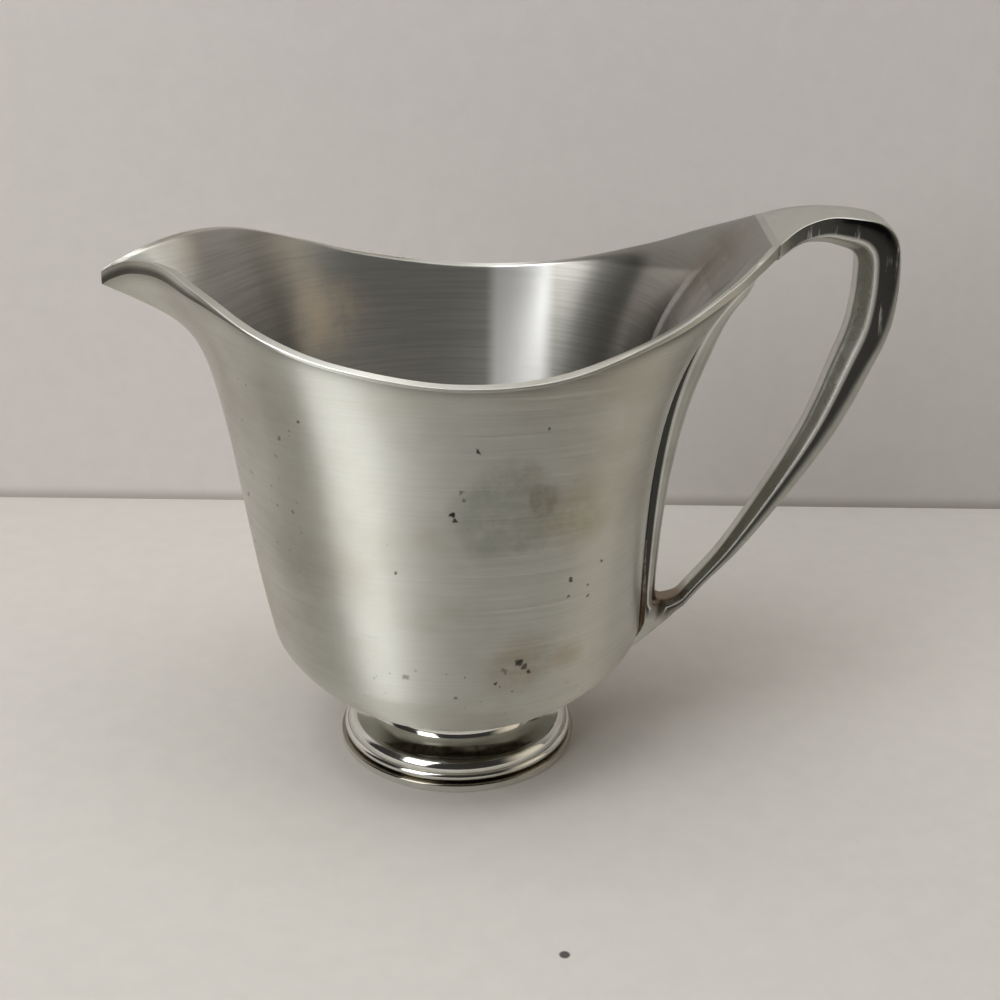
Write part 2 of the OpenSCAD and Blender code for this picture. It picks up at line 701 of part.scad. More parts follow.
module lower_solder() {
  side = [for (t = low_ts) fillet_ring(low_half(t), t, [0, 1])];
  corner = [
    for (k = [1:corner_steps]) let (a = 90 * k / corner_steps)
      fillet_ring(tail_half_w, tail_end_share, [-sin(a), cos(a)])
  ];
  half = concat(side, corner);
  down = [for (r = half) [for (p = r) mirrored(p)]];
  up = [for (i = [len(half) - 1:-1:0]) half[i]];
  color(solder_colour) loft(concat(down, up));
}

bowl();
handle();
foot();
foot_solder();
upper_solder();
lower_solder();
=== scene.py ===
"""Footed metal creamer: satin bowl, teardrop handle, bright turned foot, on a pale table.

Sizes are in millimetres, as in the part's own construction, and the meshes are made in metres.
X runs from the spout (minus) to the handle (plus), and Z is up.
"""

import logging
import math
from collections.abc import Sequence
from dataclasses import dataclass, field
from enum import Enum

import bmesh
import bpy
import numpy as np
from mathutils import Matrix, Vector

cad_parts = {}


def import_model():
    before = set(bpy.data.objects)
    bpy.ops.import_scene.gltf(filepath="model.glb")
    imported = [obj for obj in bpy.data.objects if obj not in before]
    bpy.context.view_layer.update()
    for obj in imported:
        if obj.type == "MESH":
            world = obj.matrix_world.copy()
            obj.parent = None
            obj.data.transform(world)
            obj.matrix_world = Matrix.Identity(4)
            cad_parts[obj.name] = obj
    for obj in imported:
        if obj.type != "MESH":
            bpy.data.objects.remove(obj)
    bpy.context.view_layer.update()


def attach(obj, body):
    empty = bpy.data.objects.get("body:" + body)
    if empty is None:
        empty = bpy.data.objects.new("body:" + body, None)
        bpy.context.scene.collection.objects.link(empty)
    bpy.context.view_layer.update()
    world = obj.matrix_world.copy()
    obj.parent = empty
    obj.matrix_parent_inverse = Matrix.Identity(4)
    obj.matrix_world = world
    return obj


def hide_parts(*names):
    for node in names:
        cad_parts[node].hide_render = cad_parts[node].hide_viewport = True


MM = 0.001
Point = np.ndarray
Socket = bpy.types.NodeSocket
Triple = tuple[float, float, float]
LOG = logging.getLogger("creamer")
# Section of a solder fillet, as shares of its leg along its two faces.
FILLET = ((0, 0), (0.5, 0), (1, 0), (0.66, 0.06), (0.42, 0.16), (0.27, 0.27), (0.16, 0.42),
          (0.06, 0.66), (0, 1), (0, 0.5))


class Slot(Enum):
    """Names of the material slots."""

    BOWL = "bowl_metal"
    HANDLE = "handle_metal"
    FOOT = "foot_metal"
    SOLDER = "solder"


def mix(a: float | Point, b: float | Point, share: float) -> float | Point:
    """Returns the value at a share of the way from a to b."""
    return a + (b - a) * share


def ease(a: float, b: float, x: float) -> float:
    """Returns a smooth step from 0 to 1 as x goes from a to b."""
    t = min(1.0, max(0.0, (x - a) / (b - a)))
    return t * t * (3 - 2 * t)


def unit(v: Point) -> Point:
    """Returns a vector at length 1."""
    return v / np.linalg.norm(v)


def bent(a: Point, b: Point, c: Point, t: float) -> Point:
    """Returns the point at t of the curve from a to c that is drawn towards b."""
    return a * (1 - t) ** 2 + b * 2 * t * (1 - t) + c * t * t


def cubic(a: Point, b: Point, c: Point, d: Point, t: float) -> Point:
    """Returns the point at t of the cubic curve with four control points."""
    return a * (1 - t) ** 3 + b * 3 * t * (1 - t) ** 2 + c * 3 * t * t * (1 - t) + d * t ** 3


def ease_all(a: float, b: float, values: Point) -> Point:
    """Returns the smooth step of each value of an array."""
    t = np.clip((values - a) / (b - a), 0, 1)
    return t * t * (3 - 2 * t)


def calmed(path: Point, passes: int) -> Point:
    """Returns a path of points with its small kinks smoothed away, its ends kept."""
    path = path.copy()
    for _ in range(passes):
        path[1:-1] += 0.5 * ((path[:-2] + path[2:]) / 2 - path[1:-1])
    return path


def through(a: Point, b: Point, c: Point, d: Point, t: float) -> Point:
    """Returns the point at t of a smooth curve that passes through b and c."""
    return (2 * b + (c - a) * t + (2 * a - 5 * b + 4 * c - d) * t * t
            + (3 * b - a - 3 * c + d) * t ** 3) / 2


def along(stations: Sequence[Point], u: float) -> Point:
    """Returns the value at u of the smooth curve through a list of stations."""
    last = len(stations) - 1
    i = min(last - 1, max(0, math.floor(u)))
    before = stations[i - 1] if i > 0 else 2 * stations[0] - stations[1]
    after = stations[i + 2] if i + 2 <= last else 2 * stations[last] - stations[last - 1]
    return through(before, stations[i], stations[i + 1], after, u - i)


def distances(path: Sequence[Point]) -> list[float]:
    """Returns the way along a path from its start to each of its points."""
    steps = [float(np.linalg.norm(b - a)) for a, b in zip(path[:-1], path[1:])]
    return [0.0] + [float(s) for s in np.cumsum(steps)]


def upright(angle: float) -> Point:
    """Returns the unit vector at an angle from upright, as radius and height."""
    return np.array([math.sin(math.radians(angle)), math.cos(math.radians(angle))])


def slanted(angle: float) -> Point:
    """Returns the unit vector at an angle from level, as radius and height."""
    return np.array([math.cos(math.radians(angle)), math.sin(math.radians(angle))])


def turned(v: Point, angle: float) -> Point:
    """Returns a flat vector turned by an angle in degrees."""
    c, s = slanted(angle)
    return np.array([v[0] * c - v[1] * s, v[0] * s + v[1] * c])


def mirrored(p: Point) -> Point:
    """Returns the mirror image of a point in the handle's plane."""
    return np.array([p[0], -p[1], p[2]])


def rounded(corner: Point, before: Point, after: Point, cut: float, steps: int = 4) -> list[Point]:
    """Rounds one corner of an outline.

    Args:
        corner: The corner point.
        before: The point before it.
        after: The point after it.
        cut: Length that the rounding may take from each of its two sides.
        steps: Number of facets of the rounding.

    Returns:
        The points that take the corner's place.
    """
    back, on = before - corner, after - corner
    length = min(cut, 0.45 * np.linalg.norm(back), 0.45 * np.linalg.norm(on))
    start = corner + back / np.linalg.norm(back) * length
    end = corner + on / np.linalg.norm(on) * length
    return [bent(start, corner, end, t) for t in np.linspace(0, 1, steps + 1)]


def soft_outline(shares: Sequence[Sequence[float]], sharp: int, steps: int) -> Point:
    """Makes a fine outline through the stations of half a section.

    Args:
        shares: Stations from the inner to the outer side, as shares of depth and half width.
        sharp: Number of the station that stays sharp.
        steps: Points in each interval.

    Returns:
        An array of shares, with a few points on the flat inner and outer sides.
    """
    aspect = np.array([1.3, 1.0])
    q = np.array(shares, float) * aspect
    mirror = np.array([1.0, -1.0])
    full = np.vstack([q[0] * mirror, q, q[-1] * mirror])
    ways = [(b - a) / max(1e-9, np.linalg.norm(b - a)) for a, b in zip(full[:-1], full[1:])]
    fine = [q[0] * np.array([1.0, s]) for s in (0.2, 0.6)]
    for i in range(len(q) - 1):
        length = np.linalg.norm(q[i + 1] - q[i])
        start = ways[i + 1] if i == sharp else ways[i] + ways[i + 1]
        end = ways[i + 1] if i + 1 == sharp else ways[i + 1] + ways[i + 2]
        start = start / max(1e-9, np.linalg.norm(start)) * length
        end = end / max(1e-9, np.linalg.norm(end)) * length
        fine += [cubic(q[i], q[i] + start / 3, q[i + 1] - end / 3, q[i + 1], t)
                 for t in np.linspace(0, 1, steps, endpoint=False)]
    fine += [q[-1]] + [q[-1] * np.array([1.0, s]) for s in (0.6, 0.2)]
    result = np.array(fine) / aspect
    result[:, 0] = np.clip(result[:, 0], 0, 1)
    result[:, 1] = np.clip(result[:, 1], 0, 1)
    return result


@dataclass
class Shell:
    """Points and faces of one closed shell on their way to a mesh, in millimetres."""

    points: list[Point] = field(default_factory=list)
    faces: list[tuple[int, ...]] = field(default_factory=list)
    places: list[tuple[tuple[float, float], ...]] = field(default_factory=list)
    marks: dict[str, list[float]] = field(default_factory=dict)

    def face(self, corners: Sequence[int], places: Sequence[tuple[float, float]]) -> None:
        """Adds a face, with the place of each corner on the surface in metres."""
        self.faces.append(tuple(corners))
        self.places.append(tuple(places))

    def make(self, name: str, crease: float) -> bpy.types.Object:
        """Makes the Blender object.

        Args:
            name: Name of the object and its mesh.
            crease: Angle in degrees past which an edge is shaded sharp.

        Returns:
            The object, at the origin, with its place in its mesh.
        """
        mesh = bpy.data.meshes.new(name)
        mesh.from_pydata([tuple(float(c) * MM for c in p) for p in self.points], [], self.faces)
        layer = mesh.uv_layers.new(name="surface")
        layer.data.foreach_set("uv", [c for place in self.places for pair in place for c in pair])
        for title, values in self.marks.items():
            mark = mesh.attributes.new(title, "FLOAT", "POINT")
            mark.data.foreach_set("value", [float(v) for v in values])
        close_and_smooth(mesh, crease)
        piece = bpy.data.objects.new(name, mesh)
        bpy.context.scene.collection.objects.link(piece)
        return piece


def close_and_smooth(mesh: bpy.types.Mesh, crease: float) -> None:
    """Merges doubles, turns the faces outwards and shades them smooth up to an angle.

    Args:
        mesh: The mesh to work on.
        crease: Angle in degrees past which an edge stays sharp.
    """
    work = bmesh.new()
    work.from_mesh(mesh)
    bmesh.ops.remove_doubles(work, verts=work.verts, dist=1e-6)
    bmesh.ops.dissolve_degenerate(work, edges=work.edges, dist=1e-7)
    bmesh.ops.recalc_face_normals(work, faces=work.faces)
    for face in work.faces:
        face.smooth = True
    for edge in work.edges:
        edge.smooth = edge.calc_face_angle(math.pi) < math.radians(crease)
    work.to_mesh(mesh)
    work.free()
    mesh.update()


def clothe(piece: bpy.types.Object, finish: bpy.types.Material, slot: Slot, *nodes: str) -> None:
    """Gives a piece its finish and its body, and hides the CAD nodes that it stands for.

    Args:
        piece: The object.
        finish: Its material.
        slot: The material slot; not used.
        nodes: Names of the CAD nodes that the piece replaces.
    """
    piece.data.materials.clear()
    piece.data.materials.append(finish)
    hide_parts(*nodes)
    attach(piece, "root")
    box = [tuple(round(c * 1000, 1) for c in corner) for corner in piece.bound_box]
    LOG.info("%s: %d faces, box %s to %s mm", piece.name, len(piece.data.polygons), box[0], box[6])


@dataclass
class Bowl:
    """The bell-shaped bowl with its drooping spout and flat lip."""

    belly_r: float = 38.2
    belly_z: float = 29.0
    seat_z: float = 12.5
    seat_r: float = 19.0
    wall: float = 1.8
    under_pull: float = 8.0
    belly_pull: float = 5.0
    leans: Triple = (12.0, 12.1, 0.6)
    flares: Triple = (3.3, 66.0, 41.0)
    rise_shares: Triple = (0.1, 1.02, 0.885)
    pulls: Triple = (16.0, 26.5, 24.5)
    lip_widths: Triple = (2.6, 1.3, 7.2)
    heel_lip_fall: float = 5.4
    heel_widening: float = 3.0
    spout_reach: float = 68.6
    heel_reach: float = 59.4
    mouth_half_w: float = 39.8
    rim_z: float = 92.9
    spout_rise: float = 13.3
    heel_rise: float = 18.5
    spout_lip: float = 2.6
    side_lip: float = 0.6
    heel_lip: float = 2.2
    heel_step: float = 1.0
    rounding: float = 0.4
    heel_rounding: float = 7.0
    column_step: float = 1.25
    swell_share: float = 0.9
    bend_limit_share: float = 0.8
    spout_lip_shares: tuple[float, float] = (0.53, 0.8)
    heel_lip_share: float = 0.43
    rows: tuple[int, ...] = (23, 61, 10, 57, 19)
    level_shares: Triple = (0.3, 0.7, 0.95)
    face_shares: Triple = (0.3, 0.5, 0.7)
    flat_shares: Triple = (0.3, 0.55, 0.8)
    spout_shares: tuple[Triple, ...] = (
        (1.000, 0.000, 0.65), (0.965, 0.040, 0.77), (0.897, 0.126, 0.92), (0.794, 0.317, 1.00),
        (0.676, 0.583, 0.87), (0.500, 0.829, 0.50), (0.294, 0.945, 0.19), (0.000, 1.000, 0.00))
    heel_shares: tuple[Triple, ...] = (
        (0.333, 0.950, 0.07), (0.633, 0.764, 0.37), (0.833, 0.555, 0.69),
        (0.933, 0.410, 0.87), (1.000, 0.299, 1.00))

    def __post_init__(self) -> None:
        """Works out the values that follow from the sizes."""
        self.heel_z = self.rim_z + self.heel_rise
        self.heel_half_w = self.heel_shares[-1][1] * self.mouth_half_w
        self.under_rise = self.under_pull / 8
        self.floor_z = self.seat_z + self.wall
        self.heel_point = np.array([self.heel_reach, 0.0, self.heel_z])

    def rim(self) -> list[Point]:
        """Returns the points of the rim's outer edge, once round from the spout's tip."""
        stations = [np.array([-s[0] * self.spout_reach, s[1] * self.mouth_half_w,
                              self.rim_z + s[2] * self.spout_rise]) for s in self.spout_shares]
        stations += [np.array([s[0] * self.heel_reach, s[1] * self.mouth_half_w,
                               self.rim_z + s[2] * self.heel_rise]) for s in self.heel_shares]
        guide = [mirrored(stations[1])] + stations
        half: list[Point] = []
        for i, (a, b) in enumerate(zip(stations[:-1], stations[1:])):
            angle = abs(math.degrees(math.atan2(a[1], a[0]) - math.atan2(b[1], b[0])))
            count = max(6, math.ceil(angle / self.column_step))
            half += [along(guide, i + 1 + k / count) for k in range(count)]
        half += [np.array([self.heel_reach, self.heel_half_w * (1 - k / 8), self.heel_z])
                 for k in range(9)]
        return half + [mirrored(p) for p in half[-2:0:-1]]

    def spout_share(self, p: Point) -> float:
        """Returns the share of a rim point that belongs to the spout."""
        out = (math.hypot(p[0], p[1]) - self.mouth_half_w) / (self.spout_reach - self.mouth_half_w)
        return 0.0 if p[0] >= 0 else min(1.0, max(0.0, out))

    def heel_share(self, p: Point) -> float:
        """Returns the share of a rim point that belongs to the handle's end."""
        out = (math.hypot(p[0], p[1]) - self.mouth_half_w) / (self.heel_reach - self.mouth_half_w)
        return 0.0 if p[0] <= 0 else min(1.0, max(0.0, out))

    def blend(self, p: Point, sizes: Triple) -> float:
        """Returns the size at a rim point, from those at the side, the spout and the heel."""
        side, spout, heel = sizes
        return side + (spout - side) * self.spout_share(p) + (heel - side) * self.heel_share(p)

    def lip_height(self, p: Point) -> float:
        """Returns the height of the edge face under a rim point."""
        low, high = self.spout_lip_shares
        spout = ease(low * self.spout_reach, high * self.spout_reach, -p[0])
        heel = ease(self.heel_lip_share * self.heel_reach, self.heel_reach, p[0])
        return (self.side_lip + (self.spout_lip - self.side_lip) * spout
                + (self.heel_lip - self.side_lip) * heel)

    def lip_step(self, p: Point) -> float:
        """Returns the overhang under that face."""
        return mix(self.side_lip / 3, self.heel_step,
                   ease(self.heel_lip_share * self.heel_reach, self.heel_reach, p[0]))

    def wall_top(self, p: Point) -> Point:
        """Returns the upper end of the outside wall, as radius and height."""
        return np.array([math.hypot(p[0], p[1]) - self.lip_step(p),
                         p[2] - self.lip_height(p) - self.lip_step(p) / 2])

    def lip_inner(self, p: Point) -> Point:
        """Returns the inner edge of the lip, which widens and dips close to the handle."""
        side, spout, heel = self.lip_widths
        late = self.heel_share(p) ** self.heel_widening
        width = side + (spout - side) * self.spout_share(p) + (heel - side) * late
        fall = self.spout_share(p) * spout / 3 + late * self.heel_lip_fall
        return np.array([math.hypot(p[0], p[1]) - width, p[2] - fall])

    def swelled(self, q: Point, top: Point, end: Point, p: Point) -> Point:
        """Returns a lip point raised so that the lip leaves the handle's top without a crease."""
        u = min(1.0, max(0.0, (top[0] - q[0]) / (top[0] - end[0])))
        lift = self.swell_share * self.heel_lip_fall * self.heel_share(p) ** self.heel_widening
        return q + np.array([0.0, lift * u * (1 - u)])

    def lower_wall(self, p: Point, t: float, inside: float = 0.0) -> Point:
        """Returns the wall below the belly, 0 at the flat underside and 1 at the belly."""
        belly = np.array([self.belly_r - inside, self.belly_z])
        low = np.array([self.seat_r, self.seat_z + inside])
        reach = np.array([self.under_pull - inside / 2, self.under_rise])
        return cubic(low, low + reach,
                     belly - self.belly_pull * upright(self.blend(p, self.leans)), belly, t)

    def upper_wall(self, p: Point, t: float, inside: float = 0.0) -> Point:
        """Returns the wall above the belly, 0 at the belly and 1 under the lip."""
        belly = np.array([self.belly_r - inside, self.belly_z])
        top = self.lip_inner(p) if inside else self.wall_top(p)
        rise = self.blend(p, self.rise_shares) * (self.rim_z - self.belly_z)
        return cubic(belly, belly + rise * upright(self.blend(p, self.leans)),
                     top - self.blend(p, self.pulls) * upright(self.blend(p, self.flares)), top, t)

    def stand(self, p: Point, rz: Point) -> Point:
        """Returns a point at a radius and height in the upright plane of a rim point."""
        r = math.hypot(p[0], p[1])
        return np.array([rz[0] * p[0] / r, rz[0] * p[1] / r, rz[1]])

    def column(self, p: Point) -> tuple[list[Point], list[list[float]]]:
        """Makes one column of the bowl, from the underside over the lip to the floor.

        Args:
            p: The rim point of the column.

        Returns:
            The points as radius and height, and their marks.
        """
        under_rows, wall_rows, bend_rows, inner_rows, floor_rows = self.rows
        low = [np.array([self.seat_r * s, self.seat_z]) for s in self.level_shares]
        low += [self.lower_wall(p, t) for t in np.linspace(0, 1, under_rows)]
        low += [self.upper_wall(p, t) for t in np.linspace(0, 1, wall_rows)[1:-1]]
        r = math.hypot(p[0], p[1])
        start, edge = self.wall_top(p), np.array([r, p[2] - self.lip_height(p)])
        top, end = np.array([r, p[2]]), self.lip_inner(p)
        soft = mix(self.rounding, self.heel_rounding, ease(0.1, 0.9, self.heel_share(p)))
        cut = self.rounding * (1 - 0.9 * ease(0.9 * self.heel_reach, self.heel_reach, p[0]))
        t = 1 - soft / (3 * self.blend(p, self.pulls))
        begin = end + (top - end) * min(self.bend_limit_share, soft / np.linalg.norm(top - end))
        wall = self.upper_wall(p, t, self.wall)
        flat = [self.swelled(mix(top, begin, s), top, end, p) for s in self.flat_shares]
        bend = [self.swelled(bent(begin, end, wall, s), top, end, p)
                for s in np.linspace(0, 1, bend_rows)]
        high = [self.upper_wall(p, t * s, self.wall) for s in np.linspace(1, 0, inner_rows)[1:]]
        high += [self.lower_wall(p, t, self.wall) for t in np.linspace(1, 0, floor_rows)[1:]]
        high += [np.array([self.seat_r * s, self.floor_z]) for s in self.level_shares[::-1]]
        lip = rounded(start, low[-1], edge, 0.12, 3) + rounded(edge, start, top, 0.2, 3)
        lip += [mix(edge, top, s) for s in self.face_shares] + rounded(top, edge, end, cut)
        points = low + lip + flat + bend + high
        turn = len(low) + len(lip)
        inner = range(turn + len(flat), turn + len(flat) + len(bend))
        return points, self.marks(p, len(points), len(low), turn, inner)

    def marks(self, p: Point, count: int, lip: int, turn: int, bend: range) -> list[list[float]]:
        """Works out what the finish has to know of a column's points.

        Args:
            p: The rim point of the column.
            count: Number of points in the column.
            lip: Number of the first point of the lip's edge face.
            turn: Number of the first point on the lip's flat.
            bend: Numbers of the points of the bend from the lip into the bowl.

        Returns:
            Three lists: how far each point is inside, how worn it is as an edge, and how much
                painted
            shade it takes: a shadow line under the lip, on the spout's edge face and in the heel's
                bend.
        """
        heel, spout = self.heel_share(p), self.spout_share(p)
        calm, blunt = 1 - ease(0.05, 0.5, heel), spout ** 0.3
        outer = (0.15 + 0.85 * calm) * (1 - ease(0.96 * self.heel_reach, self.heel_reach, p[0]))
        edges = ((turn - 3 + 1.5 * blunt, 3.0 - 1.4 * blunt, outer), (bend[0] + 2, 2.5, calm))
        # Painted shade: line is the shadow under the lip's overhang, hollow the shade in the bend
        # near the handle and dark the shade on the spout's edge face.
        line, hollow = 0.3 + 0.6 * ease(0.1, 0.6, heel), 0.45 * ease(0.1, 0.5, heel)
        dark, depth = 0.85 * ease(0.12, 0.45, spout), mix(3, 16, heel)
        inside = [ease(bend[0], bend[0] + depth, k) for k in range(count)]
        worn = [max(0.0, *(share * math.exp(-((k - centre) / width) ** 2)
                           for centre, width, share in edges)) for k in range(count)]
        under = [hollow if k in bend else line * math.exp(-((k - lip - 0.3) / 1.7) ** 2)
                 for k in range(count)]
        for k in range(lip + 3, lip + 10):
            under[k] = max(under[k], dark * ease(lip + 10.5, lip + 8, k))
        return [inside, worn, under]

    def make(self) -> bpy.types.Object:
        """Builds the bowl's mesh and returns its object."""
        shell = Shell(marks={"inside": [], "edge": [], "under": []})
        rim = self.rim()
        rim = rim[len(rim) // 2:] + rim[:len(rim) // 2]
        lengths: list[list[float]] = []
        for p in rim:
            outline, marks = self.column(p)
            shell.points += [self.stand(p, rz) for rz in outline]
            for title, values in zip(shell.marks, marks):
                shell.marks[title] += values
            lengths.append(distances(outline))
        count, rows = len(rim), len(lengths[0])
        turns = [k / count * 2 * math.pi * self.belly_r for k in range(count + 1)]
        middle = len(shell.points)
        shell.points += [np.array([0.0, 0.0, self.seat_z]), np.array([0.0, 0.0, self.floor_z])]
        for title, floor in (("inside", 1.0), ("edge", 0.0), ("under", 0.0)):
            shell.marks[title] += [0.0, floor]
        for i in range(count):
            a, b = i * rows, (i + 1) % count * rows
            la, lb = lengths[i], lengths[(i + 1) % count]
            ua, ub = turns[i] * MM, turns[i + 1] * MM
            for j in range(rows - 1):
                shell.face((a + j, b + j, b + j + 1, a + j + 1),
                           ((ua, la[j] * MM), (ub, lb[j] * MM),
                            (ub, lb[j + 1] * MM), (ua, la[j + 1] * MM)))
            shell.face((middle, b, a), ((ua, -MM), (ub, 0.0), (ua, 0.0)))
            end = (la[-1] + 1) * MM
            shell.face((middle + 1, a + rows - 1, b + rows - 1),
                       ((ua, end), (ua, la[-1] * MM), (ub, lb[-1] * MM)))
        return shell.make("creamer_bowl", 50)

    def back_at(self, p: Point, t: float) -> Point:
        """Returns the bowl's back, 0 at the flat underside, 1 at the belly, 2 under the flange."""
        return self.lower_wall(p, t) if t < 1 else self.upper_wall(p, t - 1)

    def back_step(self, t: float) -> Point:
        """Returns a short step up the bowl's back in the handle's plane."""
        return (self.back_at(self.heel_point, min(2.0, t + 0.001))
                - self.back_at(self.heel_point, max(0.0, t - 0.001)))

    def normal_at(self, p: Point, t: float) -> Point:
        """Returns the direction out of the bowl's back, as radius and height."""
        step = self.back_at(p, min(2.0, t + 0.001)) - self.back_at(p, max(0.0, t - 0.001))
        return np.array([step[1], -step[0]]) / np.linalg.norm(step)

    def on_back(self, y: float, t: float, off: float) -> Point:
        """Returns the point at a distance off the back, beside the handle's plane by y."""
        radius = self.back_at(self.heel_point, t)[0]
        across = self.heel_reach * math.tan(math.asin(max(-1.0, min(1.0, y / radius))))
        limit = min(self.heel_half_w, max(-self.heel_half_w, across))
        p = np.array([self.heel_reach, limit, self.heel_z])
        return self.stand(p, self.back_at(p, t) + off * self.normal_at(p, t))

    def in_plane(self, t: float, off: float) -> Point:
        """Returns the same in the handle's plane, as radius and height."""
        return self.back_at(self.heel_point, t) + off * self.normal_at(self.heel_point, t)


@dataclass
class Handle:
    """The teardrop handle: a flat strap, a grip, a rail along the bowl's back and a tail."""

    bowl: Bowl
    handle_reach: float = 84.4
    strap_z: float = 115.0
    fork_z: float = 32.8
    fork_round: float = 1.6
    strap_t: float = 5.1
    bend_t: float = 8.3
    limb_t: float = 2.5
    strap_half_w: float = 5.0
    limb_half_w: float = 3.3
    fork_t: float = 7.2
    tail_tip_t: float = 0.5
    tail_half_w: float = 1.2
    rail_low_t: float = 2.6
    rail_mid_t: float = 5.3
    rail_top_t: float = 3.8
    rail_half_w: float = 3.3
    rail_root_half_w: float = 7.0
    seam_gap: float = 0.1
    tail_end_share: float = 0.26
    tail_pulls: tuple[float, float] = (0.62, 0.3)
    tail_start_share: float = 1.006
    rail_start_share: float = 0.035
    section_steps: int = 5
    station_steps: int = 12
    rail_rows: int = 60
    tail_rows: int = 30
    calm_passes: int = 30
    melt_passes: int = 8
    root_slant: float = 98.0
    root_share: float = 0.66
    root_under_share: float = 0.34
    root_under_slant: float = 88.0
    fork_open: float = 25.0
    fork_rows: int = 4
    crotch_turn: float = 75.0
    crotch_seat: float = 60.0
    crotch_rows: int = 9
    ridge_rows: float = 1.6
    tail_shade: float = 0.15
    girth_m: float = 0.03
    fork_shade: tuple[float, float, float, float] = (17.0, 19.3, 0.35, 1.0)
    rail_shade: tuple[float, float, float, float] = (18.5, 27.5, 0.0, 1.0)
    sharp_stations: tuple[int, ...] = (3, 3, 3, 3, 5, 5, 5)
    outlines: tuple[tuple[tuple[float, float], ...], ...] = (
        ((0.00, 0.55), (0.12, 0.74), (0.26, 0.95), (0.34, 1.00), (0.70, 0.97), (0.90, 0.78),
         (1.00, 0.40)),
        ((0.00, 0.45), (0.10, 0.62), (0.28, 0.92), (0.34, 1.00), (0.72, 0.98), (0.92, 0.80),
         (1.00, 0.45)),
        ((0.00, 0.45), (0.10, 0.66), (0.26, 0.94), (0.33, 1.00), (0.80, 1.00), (0.96, 1.00),
         (1.00, 0.95)),
        ((0.00, 0.28), (0.08, 0.40), (0.16, 0.62), (0.24, 0.96), (0.60, 1.00), (0.96, 1.00),
         (1.00, 0.985)),
        ((0.00, 0.30), (0.16, 0.54), (0.34, 0.80), (0.52, 0.97), (0.74, 0.98), (1.00, 0.98),
         (1.00, 0.35)),
        ((0.00, 0.50), (0.10, 0.80), (0.25, 1.00), (0.50, 1.00), (0.80, 1.00), (1.00, 1.00),
         (1.00, 0.35)),
        ((0.00, 0.55), (0.14, 0.80), (0.32, 0.98), (0.52, 1.00), (0.80, 1.00), (1.00, 1.00),
         (1.00, 0.35)))
    grip_shares: tuple[tuple[float, ...], ...] = (
        (0.117, -0.012, -33, 0.00, 0.00, 0.10), (0.182, 0.032, -34, 0.00, 0.00, 0.35),
        (0.258, 0.079, -34, 0.02, 0.00, 0.65), (0.364, 0.140, -33, 0.15, 0.02, 0.90),
        (0.538, 0.266, -32, 0.37, 0.10, 1.00), (0.726, 0.414, -31, 0.61, 0.22, 1.00),
        (0.831, 0.520, -27, 0.79, 0.38, 1.00), (0.919, 0.632, -17, 0.91, 0.50, 1.00),
        (0.976, 0.708, -9, 0.98, 0.65, 1.00), (0.999, 0.789, -2, 1.00, 0.80, 1.02),
        (0.998, 0.866, 6, 0.98, 0.90, 1.10), (0.976, 0.941, 28, 1.02, 0.95, 1.30),
        (0.903, 0.983, 43, 1.08, 0.96, 1.55), (0.783, 0.995, 60, 1.52, 0.98, 1.85),
        (0.656, 0.999, 80, 1.92, 1.00, 2.00))
    # Where the side faces' dark band ends at each station, how dull the rest is and how strong it
    # is: dark oxide, deepened as a painted reflection of the dim room.
    dark_ends: tuple[Triple, ...] = (
        (0.4, 0.4, 1.0), (0.4, 0.4, 1.0), (0.4, 0.4, 1.0), (0.4, 0.4, 1.0), (0.5, 0.4, 1.0),
        (0.55, 0.4, 1.0), (0.7, 0.4, 1.0), (0.9, 0.4, 1.0), (1.1, 0.45, 1.0), (1.3, 0.45, 1.0),
        (1.6, 0.3, 1.0), (1.9, 0.1, 1.0), (1.9, 0.0, 1.0), (1.9, 0.0, 1.0), (1.9, 0.0, 0.95),
        (1.9, 0.0, 0.9), (1.9, 0.0, 0.7), (1.9, 0.0, 0.1))
    neck_shares: tuple[tuple[float, ...], ...] = (
        (0.505, 0.735, 0.33, 2.45), (0.208, 0.353, 0.70, 2.80))

    def __post_init__(self) -> None:
        """Works out the stations and outlines that follow from the sizes."""
        self.fine = [soft_outline(o, s, self.section_steps)
                     for o, s in zip(self.outlines, self.sharp_stations)]
        self.fork_x = self.bowl.belly_r + self.seam_gap + self.rail_low_t + self.fork_round
        self.corner = np.array([self.bowl.heel_reach, self.bowl.heel_z])
        grip = [self.grip_station(s) for s in self.grip_shares]
        start = grip[-1]
        end = np.array([*self.corner, self.root_slant, self.root_share * self.strap_t,
                        self.bowl.heel_half_w, 3.0])
        neck = [np.array([mix(end[0], start[0], x), mix(end[1], start[1], z),
                          *mix(start[2:5], end[2:5], on), outline])
                for x, z, on, outline in self.neck_shares]
        self.stations = grip + neck + [end]
        self.low = self.stations[0][:2]
        self.fork_outer = self.bowl.in_plane(self.tail_start_share, self.seam_gap + self.fork_t)
        self.tip_outer = self.bowl.in_plane(self.tail_end_share, self.seam_gap + self.tail_tip_t)

    def grip_station(self, s: tuple[float, ...]) -> Point:
        """Returns a station of the grip in millimetres, from its shares."""
        depth = (mix(self.limb_t, self.bend_t, s[3]) if s[3] < 1
                 else mix(self.bend_t, self.strap_t, s[3] - 1))
        return np.array([mix(self.fork_x, self.handle_reach, s[0]),
                         mix(self.fork_z, self.strap_z, s[1]), s[2], depth,
                         mix(self.limb_half_w, self.strap_half_w, s[4]), s[5]])

    def outline(self, u: float) -> Point:
        """Returns the half outline between two of the outlines."""
        i = min(len(self.fine) - 2, math.floor(u))
        return mix(self.fine[i], self.fine[i + 1], u - i)

    def both_sides(self, shares: Point) -> Point:
        """Returns the whole outline from its half."""
        return np.vstack([shares * np.array([1.0, -1.0]), shares[::-1]])

